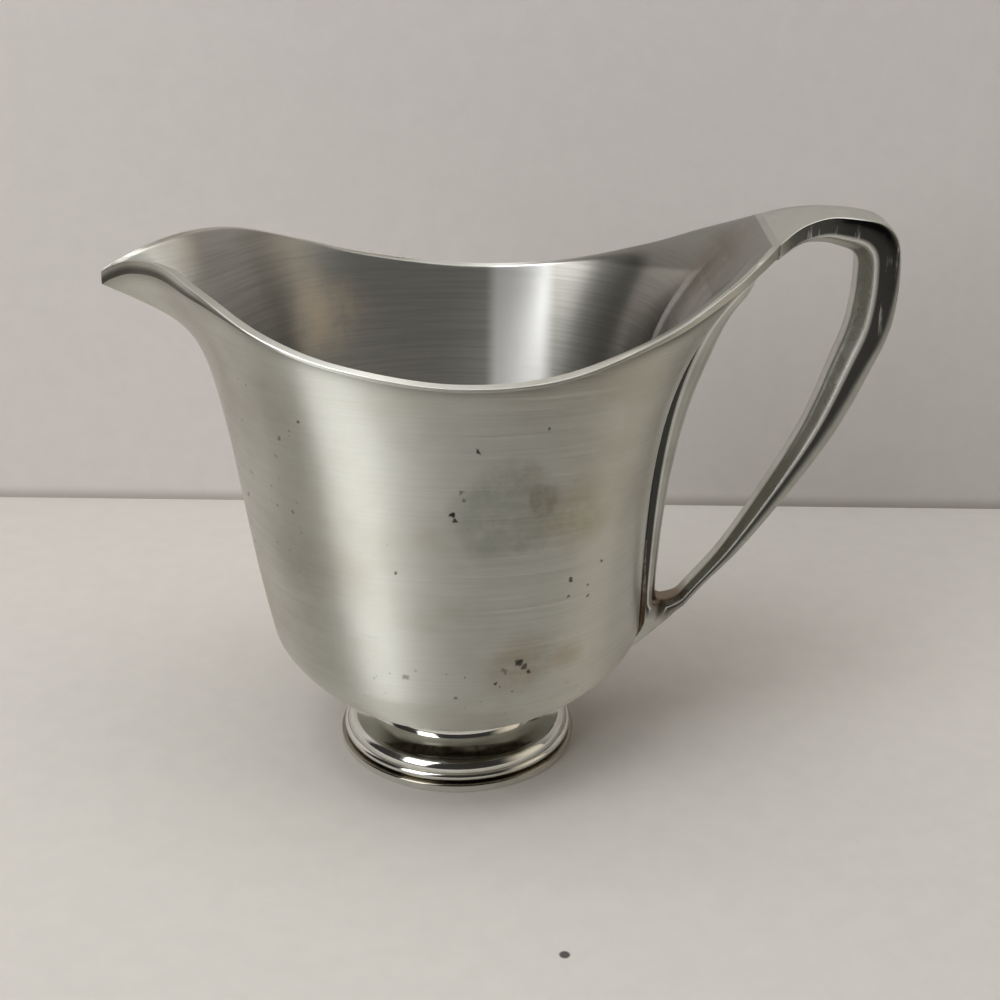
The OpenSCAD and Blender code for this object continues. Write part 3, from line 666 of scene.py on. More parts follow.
    def free_ring(self, inner: Point, outer: Point, half_w: float, shares: Point) -> list[Point]:
        """Returns a ring round the section between an inner and an outer point."""
        ring = []
        for q in self.both_sides(shares):
            c = mix(inner, outer, q[0])
            ring.append(np.array([c[0], q[1] * half_w, c[1]]))
        return ring

    def back_ring(self, inner: Point, t: float, half_w: float, shares: Point) -> list[Point]:
        """Returns a ring whose outer side lies on the bowl's back."""
        ring = []
        for q in self.both_sides(shares):
            b = self.bowl.on_back(q[1] * half_w, t, self.seam_gap)
            c = mix(inner, np.array([b[0], b[2]]), q[0])
            ring.append(np.array([c[0], q[1] * half_w, c[1]]))
        return ring

    def rail_half(self, u: float) -> float:
        """Returns the rail's half width at a share of its height."""
        return mix(self.rail_half_w, self.rail_root_half_w, ease(0.58, 1, u))

    def rail_ring(self, u: float) -> list[Point]:
        """Returns the rail's ring at a share of its height, 0 at the belly."""
        plain = mix(mix(self.rail_low_t, self.rail_mid_t, ease(0, 0.58, u)), self.rail_top_t,
                    ease(0.58, 0.84, u))
        depth = mix(plain, self.root_share * self.strap_t, ease(0.9, 1, u))
        out = turned(self.bowl.normal_at(self.bowl.heel_point, 1 + u), -64 * ease(0.84, 1, u))
        inner = self.bowl.in_plane(1 + u, self.seam_gap) + depth * out
        shares = mix(self.fine[5], self.fine[6], ease(2 * self.rail_start_share, 0, u))
        return self.back_ring(inner, 1 + u, self.rail_half(u), shares)

    def fork_point(self, angle: float) -> Point:
        """Returns a point of the hole's rounded lower end."""
        return (np.array([self.fork_x, self.fork_z + self.fork_round])
                + self.fork_round * slanted(angle))

    def loop_rings(self) -> list[list[Point]]:
        """Returns the rings of the loop: limb, bend, strap, neck, root, rail and fork."""
        rings = []
        self.shades = [self.fork_shade] * self.fork_rows
        for angle in np.linspace(-90, self.fork_open - 90, self.fork_rows):
            outer = mix(self.fork_outer, self.low, 0.5 * (angle + 90) / self.fork_open)
            rings.append(self.free_ring(self.fork_point(angle), outer, self.limb_half_w,
                                        self.fine[0]))
        steps = range((len(self.stations) - 1) * self.station_steps + 1)
        fine = [along(self.stations, k / self.station_steps) for k in steps]
        outers = calmed(np.array([s[:2] for s in fine]), self.calm_passes)
        inners = calmed(np.array([s[:2] - s[3] * slanted(s[2]) for s in fine]), self.calm_passes)
        for s, outer, inner in zip(fine, outers, inners):
            rings.append(self.free_ring(inner, outer, s[4], self.outline(s[5])))
        dark_ends, first = [np.array(e) for e in self.dark_ends], self.fork_shade[0]
        for k in steps:
            reach, dull, strength = along(dark_ends, k / self.station_steps)
            self.shades.append((first, first + 5 * float(reach), float(dull), float(strength)))
        below = self.corner - np.array([0.0, self.bowl.heel_lip])
        under = self.root_under_share * self.strap_t * slanted(self.root_under_slant)
        root = self.free_ring(below - under, below, self.bowl.heel_half_w, self.fine[4])
        rail = [self.rail_ring(mix(self.rail_start_share, 1, k / self.rail_rows))
                for k in range(self.rail_rows, -1, -1)]
        rings += self.eased(rings[-2], rings[-1], root, rail[0])
        rings += [root] + self.eased(rings[-1], root, rail[0], rail[1]) + rail
        middle = len(rings) - len(self.shades)
        for angle in np.linspace(-90 - self.crotch_turn, -90, self.crotch_rows):
            share = min(1.0, (-90 - angle) / self.crotch_seat)
            t = mix(self.tail_start_share, 1 + self.rail_start_share / 2, share)
            rings.append(self.back_ring(self.fork_point(angle), t, self.limb_half_w,
                                        self.fine[6]))
        self.shades += [(*self.rail_shade[:3], mix(0.1, 1.0, ease(2, 22, k)))
                        for k in range(middle)]
        self.shades += [self.fork_shade] * self.crotch_rows
        return self.melted(rings)

    def darkness(self, shade: tuple[float, float, float, float], k: int) -> float:
        """Returns how dark a point of a ring is painted: dark oxide on the side faces, deepened as
        a painted reflection of the dim room.

        Args:
            shade: Where the ring's dark band starts and ends, how dull it is outside it and how
                strong the band is.
            k: The point's number from the inner middle of the section.

        Returns:
            Its darkness, from 0 to 1.
        """
        start, end, dull, strength = shade
        after = ease(end, end + 3.0, k)
        bevel = (0.5 if dull > 0 else 0.3) * ease(0, 5, k) * min(1.0, strength)
        return strength * mix(bevel, mix(1.0, dull * (1 - ease(29, 31.5, k)), after),
                              ease(start - 0.6, start + 0.6, k))

    def melted(self, rings: list[list[Point]]) -> list[list[Point]]:
        """Returns the rings with the inner side of the loop calmed along its length."""
        loop = np.array(rings)
        half = 1 - ease_all(0.45, 0.9, self.fine[4][:, 0])
        weight = np.concatenate([half, half[::-1]])[:, None] * 0.5
        for _ in range(self.melt_passes):
            middle = (loop[:-2] + loop[2:]) / 2
            loop[1:-1] += weight * (middle - loop[1:-1])
        return [list(ring) for ring in loop]

    def eased(self, a: list[Point], b: list[Point], c: list[Point], d: list[Point]
              ) -> list[list[Point]]:
        """Returns three rings between b and c, on a smooth way that starts at a and ends at d."""
        return [[through(p, q, r, s, t) * 0.6 + mix(q, r, t) * 0.4
                 for p, q, r, s in zip(a, b, c, d)] for t in (0.25, 0.5, 0.75)]

    def tail_half(self, t: float) -> float:
        """Returns the tail's half width at a place of the bowl's back."""
        share = max(0.0, (t - self.tail_end_share) / (self.tail_start_share - self.tail_end_share))
        return mix(self.tail_half_w, self.limb_half_w, share ** 0.6)

    def tail_ring(self, s: float) -> list[Point]:
        """Returns the tail's ring at a share of its length."""
        t = mix(self.tail_start_share, self.tail_end_share, s)
        length = np.linalg.norm(self.fork_outer - self.tip_outer)
        limb_way = unit(self.fork_outer - self.low)
        tip_way = unit(self.bowl.back_step(self.tail_end_share))
        outer = cubic(self.fork_outer, self.fork_outer + self.tail_pulls[0] * length * limb_way,
                      self.tip_outer + self.tail_pulls[1] * length * tip_way, self.tip_outer, s)
        back = [(0.5 * (1 - q[0]), q[1] if q[0] > 0.999 else 1.0) for q in self.fine[6][:0:-1]]
        front = [(mix(0.5, 1, q[0]), 1.0 if q[0] < 0.5 else q[1]) for q in self.fine[0]]
        ring = []
        for q in self.both_sides(np.array(back + front)):
            y = q[1] * self.tail_half(t)
            b = self.bowl.on_back(y, t, self.seam_gap)
            c = mix(np.array([b[0], b[2]]), outer, q[0])
            ring.append(np.array([c[0], y, c[1]]))
        return ring

    def make(self) -> bpy.types.Object:
        """Builds the handle's mesh and returns its object."""
        rings = self.loop_rings()
        tail = [self.tail_ring(k / self.tail_rows) for k in range(1, self.tail_rows + 1)]
        count, n, m = len(rings), len(rings[0]), len(tail[0])
        half = n // 2
        shell = Shell(points=[p for r in rings for p in r] + [p for r in tail for p in r])

        def at(i: int, j: int) -> int:
            """Returns a loop point's index; the fork's two corners are shared."""
            k = (j + n) % n
            return k if i == count - 1 and k in (0, n - 1) else i * n + k

        first = ([at(count - 1, j) for j in range(half - 1, 0, -1)] + [at(0, j) for j in range(n)]
                 + [at(count - 1, j) for j in range(n - 2, half - 1, -1)])

        def tail_at(i: int, j: int) -> int:
            """Returns a tail point's index; its first ring is the fork's two rings."""
            return first[j % m] if i == 0 else count * n + (i - 1) * m + j % m

        reach = distances([np.mean(ring, axis=0) for ring in rings])
        for i in range(count - 1):
            va, vb = reach[i] * MM, reach[i + 1] * MM
            for j in range(n):
                ua, ub = j / n * self.girth_m, (j + 1) / n * self.girth_m
                shell.face((at(i, j), at(i + 1, j), at(i + 1, j + 1), at(i, j + 1)),
                           ((ua, va), (ua, vb), (ub, vb), (ub, va)))
        for i in range(self.tail_rows):
            va, vb = -i * MM, -(i + 1) * MM
            for j in range(m):
                ua, ub = j / m * self.girth_m, (j + 1) / m * self.girth_m
                shell.face((tail_at(i, j), tail_at(i, j + 1), tail_at(i + 1, j + 1),
                            tail_at(i + 1, j)), ((ua, va), (ub, va), (ub, vb), (ua, vb)))
        end = self.tail_rows
        for j in range(m // 2 - 1):
            shell.face((tail_at(end, j), tail_at(end, j + 1), tail_at(end, m - 2 - j),
                        tail_at(end, m - 1 - j)), ((0.0, 0.0),) * 4)
        ridge = 3 * self.section_steps + 2
        off = [min(abs(j - ridge), abs(n - 1 - j - ridge)) for j in range(n)]
        # 'side' carries the dark oxide and painted dark reflection of the side faces; 'edge' marks
        # the ridge's worn, painted highlight line.
        edge = [math.exp(-(d / self.ridge_rows) ** 2) for _ in rings for d in off]
        side = [self.darkness(shade, min(j, n - 1 - j)) for shade in self.shades for j in range(n)]
        shell.marks["edge"] = edge + [0.0] * (len(tail) * m)
        shell.marks["side"] = side + [self.tail_shade] * (len(tail) * m)
        return shell.make("creamer_handle", 180)


@dataclass
class Solder:
    """The fillets of solder between the handle and the bowl's back."""

    bowl: Bowl
    handle: Handle
    leg: float = 1.0
    upper_share: float = 0.42
    lower_share: float = 0.12
    rings: int = 40
    thin_share: float = 0.3
    upper_full: float = 1.85
    upper_end: float = 1.94
    end_steps: int = 12

    def ring(self, y: float, t: float, way: tuple[float, float], share: float = 1.0
             ) -> list[Point]:
        """Returns a ring of the fillet on the bowl's back, growing away from the handle."""
        leg = self.leg * share
        gap = self.handle.seam_gap
        speed = np.linalg.norm(self.bowl.back_step(t)) / 0.002
        return [self.bowl.on_back(y + way[1] * (gap + q[0] * leg),
                                  t + way[0] * (gap + q[0] * leg) / speed,
                                  gap + q[1] * leg) for q in FILLET]

    def loft(self, shell: Shell, rings: list[list[Point]]) -> None:
        """Adds a closed solid through a list of rings to a shell."""
        start, n = len(shell.points), len(rings[0])
        shell.points += [p for r in rings for p in r]
        for i in range(len(rings) - 1):
            for j in range(n):
                a, b = start + i * n + j, start + i * n + (j + 1) % n
                place = ((j * MM, i * MM), ((j + 1) * MM, i * MM),
                         ((j + 1) * MM, (i + 1) * MM), (j * MM, (i + 1) * MM))
                shell.face((a, b, b + n, a + n), place)
        for first in (start, start + (len(rings) - 1) * n):
            shell.face(tuple(range(first, first + n)), ((0.0, 0.0),) * n)

    def make_upper(self) -> bpy.types.Object:
        """Builds the two fillets beside the handle's root."""
        shell = Shell()
        places = np.linspace(2 - self.upper_share, self.upper_end, self.rings)
        side = [self.ring(self.handle.rail_half(t - 1), t, (0, 1),
                          mix(self.thin_share, 1.0, ease(places[0], self.upper_full, t)))
                for t in places]
        self.loft(shell, side)
        self.loft(shell, [[mirrored(p) for p in r] for r in side])
        return shell.make("creamer_upper_solder", 45)

    def make_lower(self) -> bpy.types.Object:
        """Builds the fillet that runs round the rail's lower end and the tail."""
        shell = Shell()
        places = np.linspace(1 + self.lower_share, self.handle.tail_end_share, 2 * self.rings)
        side = [self.ring(self.handle.tail_half(t) if t < 1 else
                          max(self.handle.limb_half_w, self.handle.rail_half(t - 1)), t, (0, 1),
                          mix(self.thin_share, 1.0, ease(1 + self.lower_share, 1.0, t)))
                for t in places]
        for angle in np.linspace(0, 90, self.end_steps + 1)[1:]:
            c, s = slanted(angle)
            side.append(self.ring(self.handle.tail_half_w, self.handle.tail_end_share, (-s, c)))
        self.loft(shell, side + [[mirrored(p) for p in r] for r in side[::-1]])
        return shell.make("creamer_lower_solder", 45)


class Nodes:
    """Helpers that add nodes to one node tree and wire them."""

    def __init__(self, tree: bpy.types.NodeTree) -> None:
        """Keeps the tree."""
        self.tree = tree

    def add(self, kind: str, **settings: object) -> bpy.types.Node:
        """Adds a node and sets its properties.

        Args:
            kind: The node's type name.
            **settings: Its properties.

        Returns:
            The node.
        """
        node = self.tree.nodes.new(kind)
        for title, value in settings.items():
            setattr(node, title, value)
        return node

    def join(self, term: Socket | float | Sequence[float], place: Socket) -> None:
        """Links a socket, or sets a plain value, on an input."""
        if isinstance(term, bpy.types.NodeSocket):
            self.tree.links.new(term, place)
        else:
            place.default_value = term

    def fed(self, node: bpy.types.Node, *terms: Socket | float | Sequence[float]) -> bpy.types.Node:
        """Joins terms to a node's first inputs, in order, and returns the node."""
        for place, term in zip(node.inputs, terms):
            self.join(term, place)
        return node

    def maths(self, operation: str, *terms: Socket | float) -> Socket:
        """Adds a math node and returns its output."""
        return self.fed(self.add("ShaderNodeMath", operation=operation), *terms).outputs[0]

    def times(self, *terms: Socket | float) -> Socket:
        """Returns the product of two or more terms, multiplied in order."""
        total = terms[0]
        for term in terms[1:]:
            total = self.maths("MULTIPLY", total, term)
        return total

    def less(self, a: Socket | float, b: Socket | float) -> Socket:
        """Returns a less b."""
        return self.maths("SUBTRACT", a, b)

    def vector(self, operation: str, *terms: Socket | Sequence[float]) -> Socket:
        """Adds a vector math node and returns its output, the number where it gives one."""
        node = self.fed(self.add("ShaderNodeVectorMath", operation=operation), *terms)
        return node.outputs["Value" if operation in ("DISTANCE", "DOT_PRODUCT") else "Vector"]

    def split(self, vector: Socket) -> Sequence[Socket]:
        """Returns the three parts of a vector."""
        return self.fed(self.add("ShaderNodeSeparateXYZ"), vector).outputs

    def merged(self, *parts: Socket) -> Socket:
        """Returns a vector made of parts."""
        return self.fed(self.add("ShaderNodeCombineXYZ"), *parts).outputs[0]

    def ramp(self, value: Socket, low: float, high: float, to_low: float = 0.0,
             to_high: float = 1.0) -> Socket:
        """Returns a value eased from one range to another."""
        node = self.add("ShaderNodeMapRange", interpolation_type="SMOOTHSTEP")
        return self.fed(node, value, low, high, to_low, to_high).outputs[0]

    def colour(self, share: Socket | float, a: Socket | Sequence[float],
               b: Socket | Sequence[float]) -> Socket:
        """Returns a colour mixed from two."""
        node = self.add("ShaderNodeMix", data_type="RGBA")
        self.join(share, node.inputs["Factor"])
        for term, place in ((a, node.inputs[6]), (b, node.inputs[7])):
            self.join(term if isinstance(term, bpy.types.NodeSocket) else (*term, 1.0), place)
        return node.outputs[2]


class Turner(Nodes):
    """A geometry node tree that turns a profile about the upright axis."""

    def __init__(self) -> None:
        """Builds the tree, with named inputs for its sizes and its finish."""
        super().__init__(bpy.data.node_groups.new("turned_profile", "GeometryNodeTree"))
        self.tree.is_modifier = True
        for title, kind in (("Geometry", "Geometry"), ("Rings", "Int"), ("Around", "Int"),
                            ("Girth", "Float"), ("Length", "Float"), ("Finish", "Material")):
            self.tree.interface.new_socket(title, in_out="INPUT", socket_type="NodeSocket" + kind)
        self.tree.interface.new_socket("Geometry", in_out="OUTPUT",
                                       socket_type="NodeSocketGeometry")
        self.wire()

    def wire(self) -> None:
        """Wires a grid whose rows follow the profile's points, turned about the axis."""
        link = self.tree.links.new
        given = self.add("NodeGroupInput").outputs
        grid = self.add("GeometryNodeMeshGrid")
        link(self.maths("ADD", given["Around"], 1.0), grid.inputs["Vertices X"])
        link(self.maths("ADD", given["Rings"], 1.0), grid.inputs["Vertices Y"])
        across, along_it, _ = self.split(self.add("GeometryNodeInputPosition").outputs[0])
        angle = self.times(self.maths("ADD", across, 0.5), math.tau)
        share = self.maths("ADD", along_it, 0.5)
        row = self.maths("ROUND", self.times(share, given["Rings"]))
        wrapped = self.maths("MODULO", self.maths("ADD", row, 0.25), given["Rings"])
        sample = self.add("GeometryNodeSampleIndex", data_type="FLOAT_VECTOR", domain="POINT")
        link(given["Geometry"], sample.inputs["Geometry"])
        link(self.add("GeometryNodeInputPosition").outputs[0], sample.inputs["Value"])
        link(self.maths("FLOOR", wrapped), sample.inputs["Index"])
        radius, _, height = self.split(sample.outputs[0])
        place = self.merged(self.times(radius, self.maths("COSINE", angle)),
                            self.times(radius, self.maths("SINE", angle)), height)
        round_it, up_it, _ = self.split(grid.outputs["UV Map"])
        surface = self.merged(self.times(round_it, given["Girth"]),
                              self.times(up_it, given["Length"]))
        store = self.add("GeometryNodeStoreNamedAttribute", data_type="FLOAT2", domain="CORNER")
        store.inputs["Name"].default_value = "surface"
        link(grid.outputs["Mesh"], store.inputs["Geometry"])
        link(surface, store.inputs["Value"])
        move = self.add("GeometryNodeSetPosition")
        link(store.outputs[0], move.inputs["Geometry"])
        link(place, move.inputs["Position"])
        merge = self.add("GeometryNodeMergeByDistance")
        merge.inputs["Distance"].default_value = 1e-6
        link(move.outputs[0], merge.inputs["Geometry"])
        whole = self.add("GeometryNodeRealizeInstances")
        link(merge.outputs[0], whole.inputs[0])
        paint = self.add("GeometryNodeSetMaterial")
        link(whole.outputs[0], paint.inputs["Geometry"])
        link(given["Finish"], paint.inputs["Material"])
        link(paint.outputs[0], self.add("NodeGroupOutput").inputs["Geometry"])

    def turn(self, name: str, profile: Sequence[Point], around: int, finish: bpy.types.Material,
             crease: float) -> bpy.types.Object:
        """Turns a closed profile into a plain mesh.

        Args:
            name: Name of the piece.
            profile: Its points, as radius and height in millimetres.
            around: Number of facets round the axis.
            finish: Its material.
            crease: Angle in degrees past which an edge is shaded sharp.

        Returns:
            The piece, at the origin.
        """
        line = bpy.data.meshes.new(name + "_profile")
        line.from_pydata([(float(p[0]) * MM, 0.0, float(p[1]) * MM) for p in profile],
                         [(i, (i + 1) % len(profile)) for i in range(len(profile))], [])
        piece = bpy.data.objects.new(name, line)
        bpy.context.scene.collection.objects.link(piece)
        girth = math.tau * max(float(p[0]) for p in profile) * MM
        values = {"Rings": len(profile), "Around": around, "Girth": girth,
                  "Length": distances(profile)[-1] * MM, "Finish": finish}
        turner = piece.modifiers.new("turned", "NODES")
        turner.node_group = self.tree
        for item in self.tree.interface.items_tree:
            if item.in_out == "INPUT" and item.name in values:
                turner[item.identifier] = values[item.name]
        graph = bpy.context.evaluated_depsgraph_get()
        mesh = bpy.data.meshes.new_from_object(piece.evaluated_get(graph))
        mesh.name = name
        piece.modifiers.clear()
        piece.data = mesh
        bpy.data.meshes.remove(line)
        close_and_smooth(mesh, crease)
        return piece


@dataclass
class Foot:
    """The turned pedestal foot and the ring of solder over its collar."""

    bowl: Bowl
    foot_d: float = 50.0
    base_band_h: float = 1.8
    groove_d: float = 0.7
    bead_r: float = 1.0
    shoulder_h: float = 4.0
    neck_r: float = 17.0
    collar_r: float = 17.8
    collar_h: float = 2.0
    foot_t: float = 1.8
    seam_gap: float = 0.1
    solder_leg: float = 1.0
    steps: int = 14
    around: int = 288
    edge_cut: float = 0.15
    collar_cut: float = 0.3

    def profile(self) -> list[Point]:
        """Returns the foot's closed profile, up the outside and down the hollow."""
        base, edge = self.foot_d / 2, self.base_band_h / 4
        bead_z, bead_x = self.base_band_h + self.bead_r, base - self.groove_d
        shoulder_z, shoulder_r = bead_z + self.bead_r * 0.8, bead_x - self.groove_d
        top, inner, cut = self.bowl.seat_z, self.neck_r - self.foot_t, self.edge_cut
        cove_z, neck_z = shoulder_z + self.shoulder_h * 0.62, top - self.collar_h * 1.5
        cove_r = mix(self.neck_r, shoulder_r, 0.72)
        waist_r = mix(self.neck_r, cove_r, 0.45)
        shares = np.linspace(0, 1, self.steps + 1)
        points = [np.array([base - cut, 0.0]), np.array([base, cut])]
        points += [np.array([base, z]) for z in np.linspace(cut, self.base_band_h - edge, 4)[1:]]
        points += [np.array([base - edge, self.base_band_h - edge]) + edge * slanted(90 * s)
                   for s in shares[1:]]
        points += [np.array([bead_x - self.bead_r, bead_z]) + self.bead_r * slanted(mix(-70, 70, s))
                   for s in shares]
        points += [np.array([mix(cove_r, shoulder_r, math.cos(a)),
                             mix(shoulder_z, cove_z, math.sin(a))]) for a in shares * math.pi / 2]
        corner, waist = np.array([cove_r, cove_z]), np.array([self.neck_r, neck_z])
        points += [cubic(corner, np.array([waist_r, mix(cove_z, neck_z, 0.12)]),
                         np.array([self.neck_r, mix(cove_z, neck_z, 0.45)]), waist, s)
                   for s in shares[1:]]
        collar = np.array([self.collar_r, top - self.collar_h])
        points += rounded(collar, waist, np.array([self.collar_r, top]), self.collar_cut)
        points += [np.array([self.collar_r, z]) for z in (top - 1.2, top - 0.6, top)]
        points += [np.array([inner, top]), np.array([inner, neck_z]),
                   np.array([waist_r - self.foot_t, mix(cove_z, neck_z, 0.45)]),
                   np.array([cove_r - self.foot_t, cove_z - self.foot_t]),
                   np.array([shoulder_r - self.foot_t, shoulder_z - self.foot_t / 2]),
                   np.array([shoulder_r - self.foot_t, 0.0])]
        return points

    def make(self, turner: Turner, finish: bpy.types.Material) -> bpy.types.Object:
        """Turns the foot and returns its object."""
        return turner.turn("creamer_foot", self.profile(), self.around, finish, 32)

    def make_solder(self, turner: Turner, finish: bpy.types.Material) -> bpy.types.Object:
        """Turns the ring of solder under the bowl and returns its object."""
        ring = [np.array([self.collar_r + self.seam_gap + q[0] * self.solder_leg,
                          self.bowl.seat_z - q[1] * self.solder_leg]) for q in FILLET]
        return turner.turn("creamer_foot_solder", ring, self.around, finish, 45)


class Wiring(Nodes):
    """The nodes of one material."""

    def __init__(self, name: str) -> None:
        """Starts a material with its metal shader wired to its output."""
        self.material = bpy.data.materials.new(name)
        self.material.use_nodes = True
        super().__init__(self.material.node_tree)
        self.tree.nodes.clear()
        self.shader = self.add("ShaderNodeBsdfPrincipled")
        self.output = self.add("ShaderNodeOutputMaterial")
        self.join(self.shader.outputs[0], self.output.inputs["Surface"])
        self.spot = self.add("ShaderNodeTexCoord").outputs["Object"]

    def stretched(self, vector: Socket, scale: Triple) -> Socket:
        """Returns the coordinates scaled along each axis."""
        node = self.fed(self.add("ShaderNodeMapping"), vector)
        node.inputs["Scale"].default_value = scale
        return node.outputs[0]

    def noise_node(self, vector: Socket, scale: float, detail: float, rough: float
                   ) -> bpy.types.Node:
        """Adds a noise over the coordinates and returns its node."""
        node = self.add("ShaderNodeTexNoise")
        for title, term in (("Vector", vector), ("Scale", scale), ("Detail", detail),
                            ("Roughness", rough)):
            self.join(term, node.inputs[title])
        return node

    def noise(self, vector: Socket, scale: float, detail: float = 3.0, rough: float = 0.6
              ) -> Socket:
        """Returns a noise value over the coordinates."""
        return self.noise_node(vector, scale, detail, rough).outputs[0]

    def mark(self, title: str) -> Socket:
        """Returns a value that the mesh carries for each point."""
        return self.add("ShaderNodeAttribute", attribute_name=title).outputs["Fac"]

    def ragged(self, scale: float, reach: float) -> Socket:
        """Returns the coordinates pushed about by a noise, the reach in millimetres."""
        push = self.vector("MULTIPLY_ADD",
                           self.noise_node(self.spot, scale, 3.0, 0.5).outputs["Color"],
                           (2 * reach * MM,) * 3, (-reach * MM,) * 3)
        return self.vector("ADD", self.spot, push)

    def brushed(self, anisotropy: float, way: Socket) -> None:
        """Gives the metal fine strokes that draw its highlights out across a direction."""
        self.shader.inputs["Anisotropic"].default_value = anisotropy
        self.shader.inputs["Anisotropic Rotation"].default_value = 0.25
        self.join(way, self.shader.inputs["Tangent"])

    def around(self) -> Socket:
        """Returns the level direction round the upright axis at each point."""
        return self.vector("NORMALIZE", self.vector("CROSS_PRODUCT", (0.0, 0.0, 1.0), self.spot))

    def near(self, centre: Triple, radius: float, soft: float = 0.5,
             place: Socket | None = None) -> Socket:
        """Returns 1 inside a ball round a place in millimetres and 0 outside it."""
        away = self.vector("DISTANCE", place or self.spot, tuple(c * MM for c in centre))
        return self.ramp(away, radius * MM, radius * MM * (1 - soft))

    def relief(self, height: Socket, depth: float, before: Socket | None = None) -> Socket:
        """Returns a surface direction with a height pattern in it, the depth in millimetres."""
        node = self.add("ShaderNodeBump")
        node.inputs["Distance"].default_value = depth * MM
        self.join(height, node.inputs["Height"])
        if before is not None:
            self.join(before, node.inputs["Normal"])
        return node.outputs[0]

    def finish(self, colour: Socket, roughness: Socket, relief: Socket,
               metallic: float = 1.0) -> bpy.types.Material:
        """Wires the shader's inputs and returns the material."""
        for title, term in (("Base Color", colour), ("Roughness", roughness),
                            ("Metallic", metallic), ("Normal", relief)):
            self.join(term, self.shader.inputs[title])
        return self.material


@dataclass(frozen=True)
class Mark:
    """A stain or nick on the metal: its place, size, strength and colour."""

    centre: Triple
    radius: float
    strength: float
    tone: Triple = (0.035, 0.034, 0.028)
    soft: float = 0.5


# The first stain, an olive cloud on the front, is tarnish that is also a painted dark reflection of
# the dim room in front.
STAINS = (Mark((10, -38.2, 69), 12, 0.52, (0.33, 0.35, 0.28), 0.45),
          Mark((16, -37, 71), 3.4, 0.6, (0.33, 0.27, 0.23), 0.4),
          Mark((13.5, -37.7, 75), 3.2, 0.35, (0.36, 0.30, 0.26), 0.6),
          Mark((22.5, -34.2, 66.5), 9, 0.5, (0.45, 0.41, 0.27), 0.7),
          Mark((13, -36.8, 37), 9, 0.5, (0.42, 0.34, 0.22), 0.8),
          Mark((21.5, -32.6, 37), 5, 0.45, (0.42, 0.34, 0.22), 0.8),
          Mark((50, 5, 104), 13, 0.8, (0.26, 0.21, 0.165), 0.7),
          Mark((-27, 27, 84), 13, 0.7, (0.80, 0.68, 0.54), 0.8),
          Mark((48, -8, 100), 9, 0.6, (0.24, 0.22, 0.20), 0.8),
          Mark((-56, 8, 104), 9, 0.3, (0.36, 0.33, 0.27), 0.8))
NICKS = tuple(Mark(centre, radius, strength) for centre, radius, strength in (
    ((0.3, -39.0, 68.8), 0.8, 0.97), ((0.5, -39.0, 67.7), 0.7, 0.9),
    ((1.9, -39.0, 73.0), 0.7, 0.6), ((2.3, -39.0, 71.8), 0.6, 0.5),
    ((12.5, -36.9, 37.6), 1.0, 0.9), ((13.5, -36.5, 36.4), 0.8, 0.8),
    ((14.3, -36.0, 35.2), 0.6, 0.8), ((9.6, -37.6, 36.2), 0.9, 0.45),
    ((21.8, -33.7, 53.4), 0.6, 0.8), ((21.8, -33.6, 50.2), 0.5, 0.7),
    ((25.2, -31.5, 51.2), 0.5, 0.7), ((25.5, -31.2, 48.9), 0.45, 0.7),
    ((27.8, -29.8, 55.6), 0.5, 0.7), ((4.7, -39.1, 81), 0.55, 0.9),
    ((-17.4, -36.2, 72.8), 0.45, 0.9), ((-10, -37.8, 56.5), 0.5, 0.8),
    ((-12, -37.3, 62), 0.45, 0.7), ((-8.5, -37.8, 34.5), 0.9, 0.5),
    ((8.5, -37.7, 33.2), 0.55, 0.8), ((16.9, -37.2, 84.6), 0.6, 0.8),
    ((-27, -33, 84), 0.5, 0.7)))


